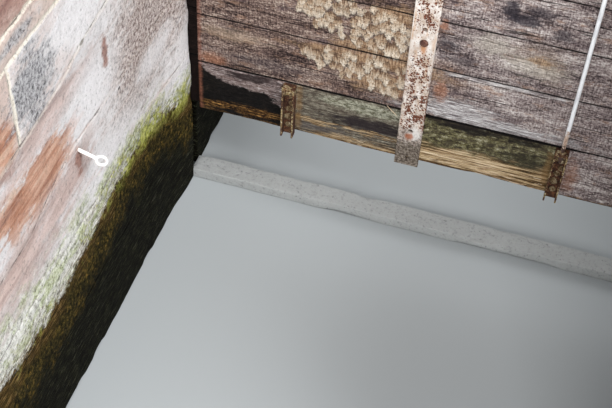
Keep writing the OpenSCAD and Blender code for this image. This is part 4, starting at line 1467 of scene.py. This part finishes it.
DOWNSTREAM = (0, -1, 0)
UPSTREAM = (0, 1, 0)
UP = (0, 0, 1)

# %% Bolts of the leaf
STRAP_BOLTS = (0.568, 0.800)
strap_bolts = Heap()
for rise in STRAP_BOLTS:
    strap_bolts.add(*spun(dome(0.0155, 0.008), (STRAP_X + 0.003, STRAP_Y, LEAF_Z + rise),
                          DOWNSTREAM, 22, 0.10, 3))
strap_bolts.piece("strap_bolts", "leaf", bolt_rust, "rusty_iron")

RACK_BOLTS = (1.36, 1.52, 1.68, 1.80)
rack_bolts = Heap()
for level in RACK_BOLTS:
    nut_and_washer(rack_bolts, (0.017, 0.003), (0.0125, 0.013), (STRAP_X, low("rack").y, level),
                   DOWNSTREAM)
rack_bolts.piece("rack_bolts", "leaf", dark_iron, "dark_cast_iron")

BRACKET_BOLTS = (0.120, 0.040)
bracket_bolts = Heap()
web_y = low("left_bottom_bracket").y + 0.026
for start, turn in ((LEAF_Z, 1), (LEAF_TOP, -1)):
    for x in (LEFT_X, RIGHT_X):
        for number, rise in enumerate(BRACKET_BOLTS):
            foot = (x, web_y, start + turn * rise)
            bracket_bolts.add(*spun(washer(0.0125, 0.004), foot, DOWNSTREAM, 18, 0.12, 5 + number))
            bracket_bolts.add(*spun(dome(0.0085, 0.010), foot, DOWNSTREAM, 14, 0.15, 8 + number))
bracket_bolts.piece("bracket_bolts", "leaf", crust_iron, "rusty_iron")

back_nuts = Heap()
back_y = high("centre_back_strap").y
for level in [LEAF_Z + rise for rise in STRAP_BOLTS] + list(RACK_BOLTS):
    foot = (STRAP_X, back_y, level)
    nut_and_washer(back_nuts, (0.018, 0.003), (0.0135, 0.013), foot, UPSTREAM)
    back_nuts.add(*spun(stud(0.0075, 0.020), foot, UPSTREAM, 12))
for x in (LEFT_X, RIGHT_X):
    for number in range(7):
        for share in (0.27, 0.73):
            level = PLANK_FEET[number] + share * (PLANK_FEET[number + 1] - PLANK_FEET[number])
            back_nuts.add(*spun(dome(0.0125, 0.007), (x, back_y, level), UPSTREAM, 16, 0.08,
                                number))
back_nuts.piece("back_strap_bolts", "leaf", bolt_rust, "rusty_iron")

# %% [markdown]
# Lime, moss and flaked rust have grown into a lump at the top of each lower bracket, over the nut
# and the bridge. A lump is a sphere stretched to size and pushed about by noise.

# %% Crust lumps
def lump(centre, reach, seed, rows=14, columns=20):
    """A stretched sphere (sin u cos v, sin u sin v, cos u) with its radius scaled by 1 + noise."""
    u = np.linspace(np.pi, 0, rows)[1:-1]
    v = np.linspace(0, 2 * np.pi, columns, endpoint=False)
    gu, gv = np.meshgrid(u, v, indexing="ij")
    rings = np.stack([np.sin(gu) * np.cos(gv), np.sin(gu) * np.sin(gv), np.cos(gu)], axis=-1)
    ball, faces = capped(rings, (0, 0, -1), (0, 0, 1))
    ball = ball * (1 + 0.38 * rough(ball * 2.3 + seed, 4, seed))[:, None]
    return ball * reach + centre, faces


# %% Lumps in place
# Each lump's place in x, y and height over the bracket's foot, and its reach in x, y and z.
LUMPS = (
    (-0.004, -0.021, 0.229, (0.022, 0.009, 0.014)), (0.012, -0.022, 0.222, (0.013, 0.009, 0.014)),
    (-0.014, -0.020, 0.205, (0.011, 0.009, 0.013)), (0.006, -0.016, 0.195, (0.012, 0.009, 0.016)),
    (-0.003, -0.009, 0.082, (0.013, 0.006, 0.016)), (0.008, -0.009, 0.150, (0.009, 0.006, 0.012)))

crust = Heap()
for x, seed in ((LEFT_X, 21), (RIGHT_X, 34)):
    for dx, dy, rise, reach in LUMPS:
        seed += 1
        crust.add(*lump((x + dx, dy, LEAF_Z + rise), reach, seed))
crust.piece("bracket_crust", "leaf", crust_iron, "rusty_iron")

# %% [markdown]
# Where the bottom plank has split, long splinters stand off its lower edge. Each is a thin spindle:
# a circle whose radius swells as a half sine along a slightly bent line.

# %% Spindles
def spindle(start, end, radius, bow, rows=9, columns=6):
    """A thin spindle from start to end: its radius follows half a sine, its middle bows out."""
    start, end = np.array(start, float), np.array(end, float)
    t = np.linspace(0, 1, rows)[1:-1]
    turn = np.linspace(0, 2 * np.pi, columns, endpoint=False)
    line = start + t[:, None] * (end - start) + np.sin(np.pi * t)[:, None] * np.array(bow)
    along = (end - start) / np.linalg.norm(end - start)
    side = np.cross(along, [0, 1, 0.2])
    side /= np.linalg.norm(side)
    up = np.cross(along, side)
    swell = radius * np.sin(np.pi * t)[:, None, None]
    rings = line[:, None, :] + swell * (np.cos(turn)[:, None] * side + np.sin(turn)[:, None] * up)
    return capped(rings, start, end)


# %% Raw oak
def raw_oak():
    """Fresh, straw-coloured wood of the splinters."""
    material, shader = new_material("raw_oak")
    at = place()
    fibre = cloud(at, (20, 60, 260), 4.0, 0.6)
    colour = ramp(fibre, (0.35, 0.26, 0.16, 0.08), (0.65, 0.66, 0.54, 0.38))
    finish_with(shader, colour, 0.8, None, fibre, 0.001)
    return material


# %% Splinters in place
splinters = Heap()
random = np.random.default_rng(8)
for number in range(46):
    right = number % 3 > 0
    x = random.uniform(0.03, 0.44) if right else random.uniform(-0.40, -0.10)
    length = random.uniform(0.03, 0.11)
    rise = random.uniform(0.006, 0.075) if right else random.uniform(0.006, 0.035)
    depth = 0.0035 + 0.006 * (1 - rise / 0.09)
    lean = random.uniform(-0.004, 0.004)
    splinters.add(*spindle((x, depth, LEAF_Z + rise),
                           (x + length, depth - 0.001, LEAF_Z + rise + lean),
                           random.uniform(0.0010, 0.0024), (0, -random.uniform(0.001, 0.004), 0)))
splinters.add(*spindle((-0.137, 0.001, LEAF_Z + 0.247), (-0.084, -0.004, LEAF_Z + 0.203), 0.0016,
                       (0, -0.004, 0.002), 12))
splinters.piece("oak_splinters", "leaf", raw_oak(), "weathered_oak")

# %% [markdown]
# The head frame is bolted through both beams and each post, and the rack housing is held down by
# four coach screws in its flange.

# %% Bolts of the head frame
frame_bolts = Heap()
beam_lo, beam_hi = low("downstream_head_beam"), high("upstream_head_beam")
for node in ("left_post", "right_post"):
    for dx, share in ((-0.028, 0.30), (0.028, 0.70)):
        x, z = middle(node).x + dx, beam_lo.z + share * (beam_hi.z - beam_lo.z)
        frame_bolts.add(*spun(washer(0.024, 0.004), (x, beam_lo.y + 0.001, z), DOWNSTREAM, 22))
        frame_bolts.add(*spun(nut(0.0165, 0.012), (x, beam_lo.y, z), DOWNSTREAM, 6))
        frame_bolts.add(*spun(washer(0.024, 0.004), (x, beam_hi.y - 0.001, z), UPSTREAM, 22))
        frame_bolts.add(*spun(nut(0.0165, 0.016), (x, beam_hi.y, z), UPSTREAM, 6))
        frame_bolts.add(*spun(stud(0.009, 0.028), (x, beam_hi.y, z), UPSTREAM, 14))
flange_lo, flange_hi = low("rack_housing"), high("rack_housing")
FLANGE_TOP = beam_hi.z + 0.014
for x in (flange_lo.x + 0.030, flange_hi.x - 0.030):
    for y in (flange_lo.y + 0.024, flange_hi.y - 0.024):
        nut_and_washer(frame_bolts, (0.015, 0.003), (0.011, 0.011), (x, y, FLANGE_TOP), UP, 18)
frame_bolts.piece("head_frame_bolts", "structure", bolt_rust, "rusty_iron")

# %% [markdown]
# ## Floor and light
# A plain pale floor stands where the river would be. Three big soft lamps, all high and far away,
# and a pale sky give the even light of an overcast day: one from downstream, one that reaches the
# left wall over the right one, and a weaker one from behind. The sky looks white to the camera and
# to reflections, but lights the object less.

# %% Stage
FLOOR_REACH = 40.0
FLOOR_COLOUR = (0.38, 0.405, 0.415)
SKY = (0.96, 0.975, 1.0)
SKY_LIGHT = 0.78

floor_mesh = bpy.data.meshes.new("floor")
floor_mesh.from_pydata([(-FLOOR_REACH, -FLOOR_REACH, 0), (FLOOR_REACH, -FLOOR_REACH, 0),
                        (FLOOR_REACH, FLOOR_REACH, 0), (-FLOOR_REACH, FLOOR_REACH, 0)], [],
                       [(0, 1, 2, 3)])
floor = bpy.data.objects.new("floor", floor_mesh)
bpy.context.scene.collection.objects.link(floor)
floor_material, floor_shader = new_material("pale_floor")
finish_with(floor_shader, FLOOR_COLOUR, 0.9, 0.2)
floor_mesh.materials.append(floor_material)

# %% Sky
world = bpy.data.worlds.new("sky")
bpy.context.scene.world = world
world.use_nodes = True
Hand.tree = world.node_tree
sky = Hand.tree.nodes["Background"]
put(sky.inputs["Color"], SKY)
path = add("ShaderNodeLightPath")
seen = calc("MAXIMUM", path.outputs["Is Camera Ray"], path.outputs["Is Glossy Ray"])
put(sky.inputs["Strength"], between(seen, SKY_LIGHT, 1.0))


# %% Lamps
def lamp(name, location, target, size, power):
    """A square area lamp turned towards a point."""
    data = bpy.data.lights.new(name, "AREA")
    data.size = size
    data.energy = power
    made = bpy.data.objects.new(name, data)
    made.location = location
    made.rotation_euler = (Vector(target) - Vector(location)).to_track_quat("-Z", "Y").to_euler()
    bpy.context.scene.collection.objects.link(made)
    print(name, power, "W")


lamp("key_lamp", (2.1, -14.0, 8.9), (-0.3, 0, 0.7), 6.0, 1770)
lamp("side_lamp", (5.4, -3.9, 8.8), (-0.9, -0.8, 0.8), 3.5, 1000)
lamp("back_lamp", (-5.4, 9.0, 8.0), (0, 0, 1.0), 6.0, 520)
